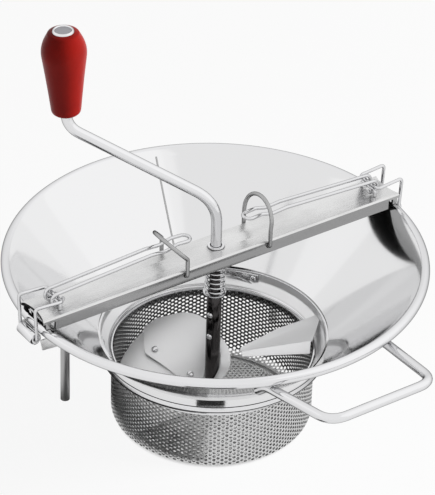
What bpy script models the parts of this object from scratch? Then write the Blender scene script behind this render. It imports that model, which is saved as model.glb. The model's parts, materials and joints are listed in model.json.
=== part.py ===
"""Hand cranked food mill with a sieve basket, clamped crossbar and helical paddle.

The origin is the middle of the sieve's floor, on the crank shaft's axis. +Z is up,
the crossbar runs along X and the loop handle points along -Y. Lengths are in metres.
"""

import math

import bmesh
import bpy
from mathutils import Matrix, Vector

MM = 0.001

# Fits that all pieces share, and the plain one that shapes are scaled from
GAP = 0.3 * MM
RUNNING_GAP = 0.4 * MM
OVERRUN = 3 * MM
WELD = 0.001 * MM
BURIED = 0.6 * MM
PROBE = 1 * MM
UNIT = 1

# Counts of facets
BOWL_STEPS = 64
RING_STEPS = 60
ROUND_STEPS = 20
SMALL_STEPS = 12
WIRE_SIDES = 2
ROD_SIDES = 3
COIL_SIDES = 1
BEND_STEPS = 3
CRANK_BEND_STEPS = 5
CLIP_STEPS = 3

# Bowl
RIM_RADIUS = 151.5 * MM
BOWL_RISE = 63.3 * MM
BEAD_RADIUS = 3.75 * MM
BOWL_SHEET = 1.2 * MM
BOWL_SAG = 1.5 * MM
MOUTH_EASE = 10.4 * MM
SPIGOT_LENGTH = 4.5 * MM
BOWL_PARTS = 3
BEAD_START_DEG = 134
BEAD_TURN_DEG = 330
BEAD_PARTS = 7

# Neck ring under the bowl
NECK_SHEET = 1.2 * MM
NECK_DEPTH = 13.5 * MM
NECK_TOP_DROP = 0.7 * MM
NECK_LEDGE_RISE = 0.2 * MM
NECK_LEDGE_EASE = 3.4 * MM
NECK_LIP_DROP = 2.8 * MM
NECK_LIP_FLARE = 2 * MM
NECK_SHOULDER = 1.5 * MM

# Sieve basket
SIEVE_RADIUS = 75 * MM
SIEVE_SHEET = 1 * MM
SIEVE_TOP = 57 * MM
SIEVE_CORNER = 6 * MM
SIEVE_LIP = 12 * MM
SIEVE_HOLE_HEIGHT = 6 * MM
SIEVE_HOLE_ROWS = 4
SIEVE_FIRST_ROW = 9.5 * MM
SIEVE_PLAIN_STRIP = 3 * MM
FLOOR_HOLE_RADIUS = 3.4 * MM
FLOOR_PLAIN_EDGE = 15 * MM
FLOOR_HOLE_RINGS = 3
SIEVE_BAND_DEPTH = 7.2 * MM
SIEVE_FLANGE_REACH = 5.6 * MM

# Clips that hold the sieve's flange down
CLIP_COUNT = 3
CLIP_FIRST_DEG = 34
CLIP_END_DEG = 2.7
CLIP_RAMP_DEG = 15
CLIP_POINT_WIDTH = 1.6 * MM
CLIP_TOP_DROP = 1 * MM
CLIP_SHEET = 1 * MM
CLIP_TOE = 2.2 * MM
CLIP_RIVET_DROP = 3.5 * MM
RIVET_RADIUS = 1.5 * MM
RIVET_HEAD_RADIUS = 2.6 * MM
RIVET_HEAD_DEPTH = 1.2 * MM
RIVET_SEAT_GAP = 0.5 * MM
HEAD_CROWN_SHARE = 0.55
HEAD_CREST_SHARE = 0.85
HEAD_EDGE_SHARE = 0.35

# Stop plate in the neck
STOP_RISE = 6.8 * MM
STOP_SHEET = 1.2 * MM
STOP_TIP_SHARES = (0.078, -0.3025)
STOP_BACK_SHARES = ((0.558, -0.197), (0.12, -0.257))
STOP_LIP_END_SHARES = (0.714, -0.51)
STOP_FAR_DEG = -12.5
STOP_LIP_LEAN_DEG = 45
STOP_LIP_DEPTH_TIP = 3.8 * MM
STOP_LIP_DEPTH_END = 9 * MM
STOP_LIP_SLANT = 2.6 * MM
STOP_LIP_BITE = 0.2 * MM
STOP_TAB_DEG = 4.5
STOP_TAB_DEPTH = 3.6 * MM
STOP_WALL_GAP = 0.6 * MM

# Rods welded under the bowl
ROD_RADIUS = 3.5 * MM
HANDLE_HALF_WIDTH = 43.6 * MM
HANDLE_STANDOUT = 50.8 * MM
HANDLE_BEND = 15 * MM
HANDLE_FOOT_SPREAD = 50 * MM
HANDLE_FOOT_INSET = 6 * MM
HANDLE_FOOT_LENGTH = 9 * MM
HANDLE_FOOT_DROP = 0.7 * MM
LEG_ANGLES_DEG = (30, 150)
LEG_NAMES = ("leg_right", "leg_left")
LEG_PLACE_SHARE = 0.357
LEG_FOOT_HEIGHT = 11.3 * MM
LEG_ARM_SHARE = 0.333
LEG_BEND = 8 * MM

# Crossbar
BAR_OVERHANG = 3.5 * MM
BAR_HALF_WIDTH = 15 * MM
BAR_RISE = 7.85 * MM
BAR_SHEET = 2 * MM
BAR_DEPTH = 10.3 * MM
BAR_END_DIP = 3 * MM
BAR_EDGE_ROUND = 1.2 * MM
WINDOW_INSET = 6.5 * MM
WINDOW_LENGTH = 4 * MM
WINDOW_LIP = 1.2 * MM
SEAT_LENGTH = 4 * MM
BUSH_WALL = 0.8 * MM
BUSH_FLANGE_WIDTH = 1.2 * MM
BUSH_FLANGE_DEPTH = 1 * MM
BUSH_SETBACK = 0.2 * MM

# Retaining hooks on the crossbar
HOOK_PLACE = 36 * MM
HOOK_PIVOT_DROP = 4.2 * MM
HOOK_WIRE = 1.5 * MM
HOOK_LEG = 14.6 * MM
HOOK_SHANK = 2.4 * MM
HOOK_FOOT = 5.6 * MM
HOOK_LEFT_LEAN_DEG = 42
HOOK_RIGHT_LEAN_DEG = 8
HOOK_BEND = 2 * MM

# Latches at the crossbar's ends
LATCH_INSET = 14.5 * MM
LEVER_WIRE = 1.3 * MM
LEVER_SPREAD = 4.5 * MM
EYE_RADIUS = 4.6 * MM
EYE_STEPS = 12
EYE_TURN_DEG = 270
EYE_LIFT = 0.5 * MM
LEVER_TIP = 24 * MM
LEVER_RISE = 4.4 * MM
LEVER_KNEE = 59 * MM
LEVER_DIP_PLACE = 46 * MM
LEVER_DIP = 0.9 * MM
LEVER_CREST_PLACE = 37 * MM
LEVER_CREST = 1.6 * MM
LEVER_TIP_DROP = 0.6 * MM
LEVER_BEND = 6 * MM
STAPLE_SIDE_GAP = 0.9 * MM
STAPLE_WIRE = 1.3 * MM
STAPLE_BEND = 2 * MM
LINK_WIRE = 1.25 * MM
LINK_SIDE_GAP = 0.45 * MM
LINK_CORNER_SET = 1.3 * MM
LINK_CORNER_RISE = 1.9 * MM
LINK_BEND = 3 * MM
ROLLER_RADIUS = 4.5 * MM
ROLLER_END_GAP = 0.55 * MM
ROLLER_ANGLE_DEG = -40.5
KEEPER_SHEET = 1.2 * MM
KEEPER_SIDE_GAP = 0.95 * MM
KEEPER_BACK_INSET = 11.5 * MM
KEEPER_STANDOUT = 5.5 * MM
KEEPER_BACK_HEIGHT = 5.13 * MM
KEEPER_TOE_RISE = 1.5 * MM
KEEPER_TOE_SET = 1.5 * MM

# Crank
CRANK_RADIUS = 4 * MM
CRANK_DIRECTION_DEG = 144.7
CRANK_FOOT = 14 * MM
CRANK_ELBOW_RISE = 37.7 * MM
CRANK_REACH = 107.6 * MM
CRANK_CLIMB = 59.2 * MM
CRANK_TIP_INSET = 2.4 * MM
CRANK_BEND_LOW = 31 * MM
CRANK_BEND_HIGH = 18 * MM

# Grip on the crank; heights are along the grip, which leans out, from the crank's upper bend
GRIP_LEAN_DEG = 1.8
GRIP_STANDOFF = 12.3 * MM
GRIP_LENGTH = 64.9 * MM
GRIP_FOOT_EDGE = 3.7 * MM
GRIP_FOOT_ROUND = 1.5 * MM
GRIP_BULGE = 5.4 * MM
GRIP_TOP_WALL = 0.7 * MM
GRIP_CAP_WALL = 3.2 * MM
GRIP_CAP_DEPTH = 4 * MM
GRIP_CAP_RISE = 1.3 * MM
GRIP_WASHER_WIDTH = 2.6 * MM
GRIP_WASHER_DEPTH = 1.2 * MM
GRIP_HEIGHT_SHARES = (0.955, 0.91, 0.86, 0.8, 0.75, 0.7, 0.35, 0.035)
GRIP_BULGE_SHARES = (0.09, 0.46, 0.76, 0.96, 1, 0.92, 0.43, 0.01)
GRIP_FOOT_ROUND_SHARE = 0.3
GRIP_CAP_WIDTH_SHARES = (0, 0.72, 0.77, 0.93)
GRIP_CAP_SINK_SHARES = (0.3, 0.35, 0, 0.12)

# Paddle hub
SLEEVE_WALL = 1.1 * MM
SLEEVE_FOOT = 8 * MM
SCREW_LOWER_DROP = 36.3 * MM
SCREW_UPPER_DROP = 17.2 * MM
SCREW_NAMES = ("hub_screw_lower", "hub_screw_upper")
SCREW_DIRECTION_DEG = 205
SCREW_SHANK_RADIUS = 1.5 * MM
SCREW_HEAD_RADIUS = 2.4 * MM
SCREW_HEAD_DEPTH = 1.5 * MM
THRUST_WIDTH = 4.2 * MM
THRUST_DEPTH = 1.2 * MM

# Pressure spring
COIL_WIRE = 0.65 * MM
SPRING_LENGTH = 37.4 * MM
COIL_EASE = 2.2 * MM
COIL_FLARE = 1.2 * MM
COIL_TURNS = 9
COIL_POINTS = 8

# Paddle: its wing falls as it goes round anticlockwise, and its edges are trimmed in plan
PADDLE_SHEET = 1.2 * MM
PADDLE_FALL_PER_TURN = 126 * MM
PADDLE_HUB_GAP = 0.6 * MM
PADDLE_WALL_GAP = 3 * MM
PADDLE_START_DEG = 60
PADDLE_START_HEIGHT = 49.8 * MM
PADDLE_DEG = 100
LAP_EDGE_SHARES = ((-0.05, 0.02), (-0.206, 0.09), (-0.374, 0.683), (-0.233, 0.932),
                   (-0.174, 1.038))
NOSE_EDGE_SHARES = ((-0.06, 1.02), (0.074, 0.94), (0.163, 0.892), (0.211, 0.85),
                    (0.265, 0.754), (0.283, 0.664), (0.285, 0.535), (0.03, 0.056))
PRESSER_START_DEG = 100
PRESSER_DEG = 82
PRESSER_DROP = 2.8 * MM
PRESSER_INNER_SHARE = 0.1888
PRESSER_WALL_GAP = 3 * MM
PADDLE_RIVET_NAMES = ("paddle_rivet_inner", "paddle_rivet_outer")
PADDLE_RIVET_SHARES = ((-0.143, 0.183), (-0.271, 0.657))
STEP_DEG = 5
FLIGHT_WIDTH = 7.9 * MM
FLIGHT_START_DEG = -125
FLIGHT_DEG = 180
FLIGHT_FOOT = 28 * MM
FLIGHT_RISE = 32 * MM
FLIGHT_STEP_DEG = 15

# Places that follow from the sizes above
SIEVE_FLOOR_RADIUS = SIEVE_RADIUS - SIEVE_LIP
FLOOR_HOLE_PITCH = (SIEVE_FLOOR_RADIUS - FLOOR_PLAIN_EDGE) / FLOOR_HOLE_RINGS
NECK_LEDGE_HEIGHT = SIEVE_TOP + NECK_LEDGE_RISE
NECK_LEDGE_RADIUS = SIEVE_RADIUS + NECK_LEDGE_EASE
NECK_FOOT_HEIGHT = NECK_LEDGE_HEIGHT - NECK_LIP_DROP
NECK_FOOT_RADIUS = NECK_LEDGE_RADIUS + NECK_LIP_FLARE
MOUTH_RADIUS = SIEVE_RADIUS + MOUTH_EASE
MOUTH_HEIGHT = NECK_LEDGE_HEIGHT + NECK_DEPTH
NECK_TOP = MOUTH_HEIGHT - NECK_TOP_DROP
NECK_RADIUS = MOUTH_RADIUS - BOWL_SHEET / 2 - GAP - NECK_SHEET / 2
NECK_BORE = NECK_RADIUS - NECK_SHEET / 2
SIEVE_BAND_FOOT = NECK_LEDGE_HEIGHT - SIEVE_BAND_DEPTH
SIEVE_TOP_ROW = SIEVE_BAND_FOOT - SIEVE_PLAIN_STRIP - SIEVE_HOLE_HEIGHT
SIEVE_ROW_PITCH = (SIEVE_TOP_ROW - SIEVE_FIRST_ROW) / (SIEVE_HOLE_ROWS - 1)
CLIP_TOP = NECK_TOP - CLIP_TOP_DROP
CLIP_RIVET_HEIGHT = CLIP_TOP - CLIP_RIVET_DROP
STOP_HEIGHT = NECK_LEDGE_HEIGHT + STOP_RISE
STOP_TIP = Vector(STOP_TIP_SHARES) * NECK_BORE
STOP_BACK = [Vector(shares) * NECK_BORE for shares in STOP_BACK_SHARES]
STOP_LIP_END = Vector(STOP_LIP_END_SHARES) * NECK_BORE
RIM_HEIGHT = MOUTH_HEIGHT + BOWL_RISE
BEAD_TOP = RIM_HEIGHT + BEAD_RADIUS
HANDLE_REACH = RIM_RADIUS + HANDLE_STANDOUT
HANDLE_FOOT_OUTER = RIM_RADIUS - HANDLE_FOOT_INSET
HANDLE_FOOT_INNER = HANDLE_FOOT_OUTER - HANDLE_FOOT_LENGTH
BOWL_SPAN = RIM_RADIUS - MOUTH_RADIUS
LEG_CIRCLE_RADIUS = MOUTH_RADIUS + BOWL_SPAN * LEG_PLACE_SHARE
LEG_ARM = BOWL_SPAN * LEG_ARM_SHARE
BAR_HALF_LENGTH = RIM_RADIUS + BAR_OVERHANG
BAR_TOP = BEAD_TOP + BAR_RISE
BAR_UNDERSIDE = BAR_TOP - BAR_SHEET
BAR_FOOT = BAR_TOP - BAR_DEPTH
WINDOW_START = RIM_RADIUS - WINDOW_INSET
SHAFT_BORE = CRANK_RADIUS + RUNNING_GAP
BUSH_BARREL_RADIUS = SHAFT_BORE + BUSH_WALL
BUSH_FLANGE_RADIUS = BUSH_BARREL_RADIUS + BUSH_FLANGE_WIDTH
BUSH_LENGTH = BAR_SHEET - BUSH_SETBACK
SIEVE_BAND_RADIUS = SIEVE_RADIUS + GAP + SIEVE_SHEET / 2
FLANGE_HEIGHT = NECK_LEDGE_HEIGHT + NECK_SHEET / 2 + GAP + SIEVE_SHEET / 2
LATCH_PLACE = RIM_RADIUS - LATCH_INSET
STAPLE_SPREAD = LEVER_SPREAD + LEVER_WIRE + STAPLE_WIRE + STAPLE_SIDE_GAP
LINK_SPREAD = STAPLE_SPREAD + STAPLE_WIRE + LINK_WIRE + LINK_SIDE_GAP
EYE_HEIGHT = BAR_TOP + EYE_RADIUS + LEVER_WIRE + EYE_LIFT
EYE_BORE = EYE_RADIUS * math.cos(math.pi / EYE_STEPS) - LEVER_WIRE
PIN_HEIGHT = EYE_HEIGHT - (EYE_BORE - STAPLE_WIRE - GAP)
LINK_HEIGHT = EYE_HEIGHT + (EYE_BORE - LINK_WIRE - GAP)
ROLLER_DISTANCE = BEAD_RADIUS + GAP + ROLLER_RADIUS
ROLLER_PLACE = RIM_RADIUS + ROLLER_DISTANCE * math.cos(math.radians(ROLLER_ANGLE_DEG))
ROLLER_HEIGHT = RIM_HEIGHT + ROLLER_DISTANCE * math.sin(math.radians(ROLLER_ANGLE_DEG))
LINK_CORNER = ROLLER_PLACE + LINK_CORNER_SET
ROLLER_HALF_LENGTH = LINK_SPREAD - LINK_WIRE - ROLLER_END_GAP
KEEPER_INNER_WIDTH = LINK_SPREAD + LINK_WIRE + KEEPER_SIDE_GAP
KEEPER_BACK = RIM_RADIUS - KEEPER_BACK_INSET
KEEPER_FRONT = RIM_RADIUS + KEEPER_STANDOUT
HOOK_PIVOT_HEIGHT = BAR_TOP - HOOK_PIVOT_DROP
HOOK_SPREAD = BAR_HALF_WIDTH + GAP + HOOK_WIRE
HOOK_LEAN_DEG = {"left": HOOK_LEFT_LEAN_DEG, "right": HOOK_RIGHT_LEAN_DEG}
CRANK_ELBOW = BAR_TOP + CRANK_ELBOW_RISE
CRANK_SHOULDER = CRANK_ELBOW + CRANK_CLIMB
GRIP_TOP = GRIP_STANDOFF + GRIP_LENGTH
GRIP_WASHER_RADIUS = SHAFT_BORE + GRIP_WASHER_WIDTH
GRIP_FOOT_RADIUS = GRIP_WASHER_RADIUS + GRIP_FOOT_EDGE
GRIP_CAP_RADIUS = SHAFT_BORE + GRIP_CAP_WALL
GRIP_TOP_RADIUS = GRIP_CAP_RADIUS + GRIP_TOP_WALL
CRANK_TIP = GRIP_TOP - CRANK_TIP_INSET
THRUST_TOP = BAR_UNDERSIDE - SPRING_LENGTH
THRUST_FOOT = THRUST_TOP - THRUST_DEPTH
THRUST_RADIUS = SHAFT_BORE + THRUST_WIDTH
SLEEVE_RADIUS = SHAFT_BORE + SLEEVE_WALL
SLEEVE_TOP = THRUST_FOOT - GAP
SCREW_HEIGHTS = (SLEEVE_TOP - SCREW_LOWER_DROP, SLEEVE_TOP - SCREW_UPPER_DROP)
COIL_TOP_RADIUS = CRANK_RADIUS + COIL_EASE
COIL_FOOT_RADIUS = COIL_TOP_RADIUS + COIL_FLARE
PADDLE_INNER = SLEEVE_RADIUS + PADDLE_HUB_GAP
PADDLE_OUTER = SIEVE_RADIUS - PADDLE_WALL_GAP
PADDLE_LAP_EDGE = [Vector(shares) * PADDLE_OUTER for shares in LAP_EDGE_SHARES]
PADDLE_NOSE_EDGE = [Vector(shares) * PADDLE_OUTER for shares in NOSE_EDGE_SHARES]
PADDLE_RIVET_PLACES = [Vector(shares) * PADDLE_OUTER for shares in PADDLE_RIVET_SHARES]
PADDLE_FALL_PER_DEG = PADDLE_FALL_PER_TURN / 360
PRESSER_INNER = PADDLE_OUTER * PRESSER_INNER_SHARE
PRESSER_OUTER = SIEVE_RADIUS - PRESSER_WALL_GAP
FLIGHT_RADIUS = SLEEVE_RADIUS + FLIGHT_WIDTH
SIDES = {"left": -1, "right": 1}

# Colour, metallic and roughness of each material
STEEL_POLISHED = ("polished_steel", (0.78, 0.79, 0.80, 1), 1.0, 0.12)
STEEL_BRUSHED = ("brushed_steel", (0.66, 0.66, 0.66, 1), 1.0, 0.34)
STEEL_SIEVE = ("perforated_steel", (0.70, 0.70, 0.71, 1), 1.0, 0.26)
STEEL_WIRE = ("wire_steel", (0.80, 0.81, 0.82, 1), 1.0, 0.16)
STEEL_CHROME = ("chromed_steel", (0.86, 0.87, 0.88, 1), 1.0, 0.06)
GRIP_RED = ("red_grip", (0.42, 0.025, 0.02, 1), 0.0, 0.28)


def clear_scene():
    """Removes whatever the file holds, so each run starts the same way."""
    for item in list(bpy.data.objects):
        bpy.data.objects.remove(item, do_unlink=True)
    for group in list(bpy.data.collections):
        bpy.data.collections.remove(group)


def make_collection(name):
    group = bpy.data.collections.new(name)
    bpy.context.scene.collection.children.link(group)
    return group


clear_scene()
PARTS = make_collection("food_mill")
CUTTERS = make_collection("cutters")


def make_material(recipe, piece_name):
    """Makes a piece's own material from a named finish."""
    finish, colour, metallic, roughness = recipe
    material = bpy.data.materials.new(piece_name + "_" + finish)
    material.use_nodes = True
    shader = material.node_tree.nodes["Principled BSDF"]
    shader.inputs["Base Color"].default_value = colour
    shader.inputs["Metallic"].default_value = metallic
    shader.inputs["Roughness"].default_value = roughness
    return material


def polar(radius, degrees, height):
    angle = math.radians(degrees)
    return Vector((radius * math.cos(angle), radius * math.sin(angle), height))


def rounded(points, radius, steps=BEND_STEPS):
    """Replaces each inner corner of a route by a short arc."""
    route = [points[0]]
    for before, corner, after in zip(points, points[1:], points[2:]):
        inward = (before - corner).normalized()
        onward = (after - corner).normalized()
        half = inward.angle(onward) / 2
        reach = radius / math.tan(half)
        reach = min(reach, (before - corner).length / 2, (after - corner).length / 2)
        start = corner + inward * reach
        end = corner + onward * reach
        for step in range(steps + 1):
            share = step / steps
            blend = start.lerp(corner, share).lerp(corner.lerp(end, share), share)
            route.append(blend)
    route.append(points[-1])
    return route


def link_object(name, data, group=None):
    item = bpy.data.objects.new(name, data)
    (group or PARTS).objects.link(item)
    return item


def finish(item, name, recipe, origin=None):
    """Welds the evaluated shape into one closed mesh and gives it its place and material."""
    graph = bpy.context.evaluated_depsgraph_get()
    mesh = bpy.data.meshes.new_from_object(item.evaluated_get(graph))
    matrix = item.matrix_world.copy()
    bpy.data.objects.remove(item, do_unlink=True)
    origin = Vector(origin) if origin else Vector((0, 0, 0))
    shape = bmesh.new()
    shape.from_mesh(mesh)
    shape.transform(Matrix.Translation(-origin) @ matrix)
    bmesh.ops.remove_doubles(shape, verts=shape.verts, dist=WELD)
    bmesh.ops.dissolve_degenerate(shape, edges=shape.edges, dist=WELD)
    bmesh.ops.recalc_face_normals(shape, faces=shape.faces)
    shape.to_mesh(mesh)
    shape.free()
    mesh.name = name
    mesh.materials.clear()
    mesh.materials.append(make_material(recipe, name))
    mesh.shade_smooth()
    mesh.set_sharp_from_angle(angle=math.radians(35))
    piece = link_object(name, mesh)
    piece.location = origin
    return piece


def draft(item):
    """Turns a curve or modified object into a plain welded mesh object for cutting."""
    graph = bpy.context.evaluated_depsgraph_get()
    mesh = bpy.data.meshes.new_from_object(item.evaluated_get(graph))
    matrix = item.matrix_world.copy()
    name = item.name
    bpy.data.objects.remove(item, do_unlink=True)
    shape = bmesh.new()
    shape.from_mesh(mesh)
    bmesh.ops.remove_doubles(shape, verts=shape.verts, dist=WELD)
    bmesh.ops.recalc_face_normals(shape, faces=shape.faces)
    shape.to_mesh(mesh)
    shape.free()
    plain = link_object(name, mesh)
    plain.matrix_world = matrix
    return plain


def turned(profile, steps, closed=True):
    """Turns a profile of (radius, height) points about Z; a closed one is a ring."""
    mesh = bpy.data.meshes.new("profile")
    count = len(profile)
    edges = [(i, i + 1) for i in range(count - 1)]
    if closed:
        edges.append((count - 1, 0))
    mesh.from_pydata([(radius, 0, height) for radius, height in profile], edges, [])
    item = link_object("turned_draft", mesh)
    screw = item.modifiers.new("Turn", "SCREW")
    screw.steps = steps
    screw.render_steps = steps
    screw.use_merge_vertices = True
    screw.merge_threshold = WELD
    return item


def turned_sheet(line, sheet, steps):
    """Turns an open line and thickens it to a sheet."""
    item = turned(line, steps, closed=False)
    thicken = item.modifiers.new("Thicken", "SOLIDIFY")
    thicken.thickness = sheet
    thicken.offset = 0
    thicken.use_even_offset = True
    return item


def wire(points, radius, sides, cyclic=False):
    """Bends a round wire or rod along a route."""
    curve = bpy.data.curves.new("route", "CURVE")
    curve.dimensions = "3D"
    curve.bevel_depth = radius
    curve.bevel_resolution = sides
    curve.use_fill_caps = not cyclic
    spline = curve.splines.new("POLY")
    spline.points.add(len(points) - 1)
    for slot, point in zip(spline.points, points):
        slot.co = (point.x, point.y, point.z, 1)
    spline.use_cyclic_u = cyclic
    return link_object("wire_draft", curve)


def plate(outline, sheet, frame):
    """Cuts a flat plate from an outline; frame places it, with its thickness about frame's Z."""
    curve = bpy.data.curves.new("outline", "CURVE")
    curve.dimensions = "2D"
    curve.fill_mode = "BOTH"
    curve.extrude = sheet / 2
    spline = curve.splines.new("POLY")
    spline.points.add(len(outline) - 1)
    for slot, (x, y) in zip(spline.points, outline):
        slot.co = (x, y, 0, 1)
    spline.use_cyclic_u = True
    item = link_object("plate_draft", curve)
    item.matrix_world = frame
    bpy.context.view_layer.update()
    return draft(item)


def block(low, high):
    """A box between two corners, for cutting."""
    low, high = Vector(low), Vector(high)
    mesh = bpy.data.meshes.new("block")
    shape = bmesh.new()
    bmesh.ops.create_cube(shape, size=UNIT)
    size = high - low
    place = Matrix.Translation((low + high) / 2)
    shape.transform(place @ Matrix.Diagonal((size.x, size.y, size.z, 1)))
    shape.to_mesh(mesh)
    shape.free()
    return link_object("block_cutter", mesh, CUTTERS)


def peg(radius, start, end, sides):
    """A straight round peg from start to end, for cutting or for a plain pin."""
    start, end = Vector(start), Vector(end)
    along = end - start
    mesh = bpy.data.meshes.new("peg")
    shape = bmesh.new()
    bmesh.ops.create_cone(shape, cap_ends=True, segments=sides, radius1=radius,
                          radius2=radius, depth=along.length)
    turn = along.to_track_quat("Z", "Y").to_matrix().to_4x4()
    shape.transform(Matrix.Translation((start + end) / 2) @ turn)
    shape.to_mesh(mesh)
    shape.free()
    return link_object("peg_cutter", mesh, CUTTERS)


def cut(item, cutter, operation="DIFFERENCE"):
    """Cuts one mesh object with another and drops the cutter."""
    cutter.hide_render = True
    cutter.display_type = "WIRE"
    saw = item.modifiers.new("Cut", "BOOLEAN")
    saw.operation = operation
    saw.object = cutter
    saw.solver = "EXACT"
    bpy.context.view_layer.update()
    result = draft(item)
    bpy.data.objects.remove(cutter, do_unlink=True)
    return result


def headed_pin(head_radius, head_depth, shank_radius, shank_length, tail_depth=0):
    """A rivet or screw that stands along +Z, its head's underside at height zero."""
    crown = head_radius * HEAD_CROWN_SHARE
    profile = [(0, head_depth), (crown, head_depth * HEAD_CREST_SHARE),
               (head_radius, head_depth * HEAD_EDGE_SHARE), (head_radius, 0),
               (shank_radius, 0), (shank_radius, -shank_length)]
    if tail_depth:
        tail = -shank_length - tail_depth
        profile += [(head_radius, -shank_length),
                    (head_radius, -shank_length - tail_depth * HEAD_EDGE_SHARE),
                    (crown, tail), (0, tail)]
    else:
        profile.append((0, -shank_length))
    return turned(profile, SMALL_STEPS, closed=False)


def bowl_height(radius):
    """Height of the bowl's sheet, at its middle, between its mouth and its rim."""
    start_angle = math.radians(BEAD_START_DEG)
    top_radius = RIM_RADIUS + (BEAD_RADIUS - BOWL_SHEET / 2) * math.cos(start_angle)
    top_height = RIM_HEIGHT + (BEAD_RADIUS - BOWL_SHEET / 2) * math.sin(start_angle)
    share = (radius - MOUTH_RADIUS) / (top_radius - MOUTH_RADIUS)
    straight = MOUTH_HEIGHT + share * (top_height - MOUTH_HEIGHT)
    return straight - BOWL_SAG * 4 * share * (1 - share)


def under_bowl(radius, half_thickness):
    """Height at which something of the given half thickness lies against the underside."""
    slope = (bowl_height(radius + PROBE) - bowl_height(radius - PROBE)) / (2 * PROBE)
    stand_off = BOWL_SHEET / 2 + GAP + half_thickness
    return bowl_height(radius) - stand_off * math.sqrt(1 + slope * slope)


def build_bowl():
    """The flared bowl, from its short spigot up to the rolled bead of its rim."""
    bead = BEAD_RADIUS - BOWL_SHEET / 2
    line = []
    for step in range(BEAD_PARTS + 1):
        angle = math.radians(BEAD_START_DEG - BEAD_TURN_DEG * (1 - step / BEAD_PARTS))
        line.append((RIM_RADIUS + bead * math.cos(angle), RIM_HEIGHT + bead * math.sin(angle)))
    top_radius = line[-1][0]
    for step in range(1, BOWL_PARTS + 1):
        radius = top_radius + (MOUTH_RADIUS - top_radius) * step / BOWL_PARTS
        line.append((radius, bowl_height(radius)))
    line.append((MOUTH_RADIUS, MOUTH_HEIGHT - SPIGOT_LENGTH))
    finish(turned_sheet(line, BOWL_SHEET, BOWL_STEPS), "bowl", STEEL_POLISHED)


def build_neck():
    """The ring inside the bowl's spigot, with the ledge that carries the sieve."""
    line = [(NECK_RADIUS, NECK_TOP),
            (NECK_RADIUS, NECK_LEDGE_HEIGHT + NECK_SHOULDER),
            (NECK_RADIUS - NECK_SHOULDER / 2, NECK_LEDGE_HEIGHT),
            (NECK_LEDGE_RADIUS, NECK_LEDGE_HEIGHT),
            (NECK_FOOT_RADIUS, NECK_FOOT_HEIGHT)]
    finish(turned_sheet(line, NECK_SHEET, RING_STEPS), "neck_ring", STEEL_POLISHED)


def sieve_line():
    """Heights and radii down the sieve wall, with a flag on each band that holds holes."""
    middle = SIEVE_RADIUS - SIEVE_SHEET / 2
    line = [(middle, SIEVE_TOP)]
    bands = []
    for row in reversed(range(SIEVE_HOLE_ROWS)):
        foot = SIEVE_FIRST_ROW + row * SIEVE_ROW_PITCH
        line += [(middle, foot + SIEVE_HOLE_HEIGHT), (middle, foot)]
        bands += [False, True]
    corner_parts = 2
    half = SIEVE_SHEET / 2
    for step in range(corner_parts + 1):
        angle = math.radians(90 * step / corner_parts)
        line.append((middle - SIEVE_CORNER * (1 - math.cos(angle)),
                     half + SIEVE_CORNER * (1 - math.sin(angle))))
    line.append((SIEVE_FLOOR_RADIUS, half))
    bands += [False] * (corner_parts + 2)
    return line, bands


def build_sieve_wall():
    """The perforated wall, a wrapped grid whose hole cells are left out, then thickened."""
    line, bands = sieve_line()
    shape = bmesh.new()
    bmesh.ops.create_grid(shape, x_segments=RING_STEPS, y_segments=len(bands), size=UNIT)
    holes = []
    for face in shape.faces:
        centre = face.calc_center_median()
        column = int((centre.x + 1) / 2 * RING_STEPS)
        band = int((1 - centre.y) / 2 * len(bands))
        if bands[band] and (column + band // 2) % 2:
            holes.append(face)
    bmesh.ops.delete(shape, geom=holes, context="FACES_ONLY")
    for vertex in shape.verts:
        angle = (vertex.co.x + 1) * math.pi
        radius, height = line[round((1 - vertex.co.y) / 2 * len(bands))]
        vertex.co = Vector((radius * math.cos(angle), radius * math.sin(angle), height))
    bmesh.ops.remove_doubles(shape, verts=shape.verts, dist=WELD)
    bmesh.ops.recalc_face_normals(shape, faces=shape.faces)
    mesh = bpy.data.meshes.new("sieve_grid")
    shape.to_mesh(mesh)
    shape.free()
    item = link_object("sieve_draft", mesh)
    thicken = item.modifiers.new("Thicken", "SOLIDIFY")
    thicken.thickness = SIEVE_SHEET
    thicken.offset = 0
    thicken.use_even_offset = True
    finish(item, "sieve_wall", STEEL_SIEVE)


def build_sieve_floor():
    """The floor disc with rings of holes round a solid middle."""
    radius = SIEVE_FLOOR_RADIUS - GAP
    disc = draft(turned([(0, SIEVE_SHEET), (radius, SIEVE_SHEET), (radius, 0), (0, 0)],
                        RING_STEPS, closed=False))
    holes = bmesh.new()
    for ring in range(1, FLOOR_HOLE_RINGS + 1):
        for step in range(6 * ring):
            place = polar(FLOOR_HOLE_PITCH * ring, 60 * step / ring, SIEVE_SHEET / 2)
            bmesh.ops.create_cone(holes, cap_ends=True, segments=4, radius1=FLOOR_HOLE_RADIUS,
                                  radius2=FLOOR_HOLE_RADIUS, depth=SIEVE_SHEET + 2 * OVERRUN,
                                  matrix=Matrix.Translation(place))
    mesh = bpy.data.meshes.new("floor_holes")
    holes.to_mesh(mesh)
    holes.free()
    disc = cut(disc, link_object("floor_cutter", mesh, CUTTERS))
    finish(disc, "sieve_floor", STEEL_SIEVE)


def build_sieve_rim():
    """The band outside the perforated wall, with the flange that hangs on the neck's ledge."""
    line = [(SIEVE_BAND_RADIUS + SIEVE_FLANGE_REACH, FLANGE_HEIGHT),
            (SIEVE_BAND_RADIUS, FLANGE_HEIGHT),
            (SIEVE_BAND_RADIUS, SIEVE_BAND_FOOT)]
    finish(turned_sheet(line, SIEVE_SHEET, RING_STEPS), "sieve_rim", STEEL_POLISHED)


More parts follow.
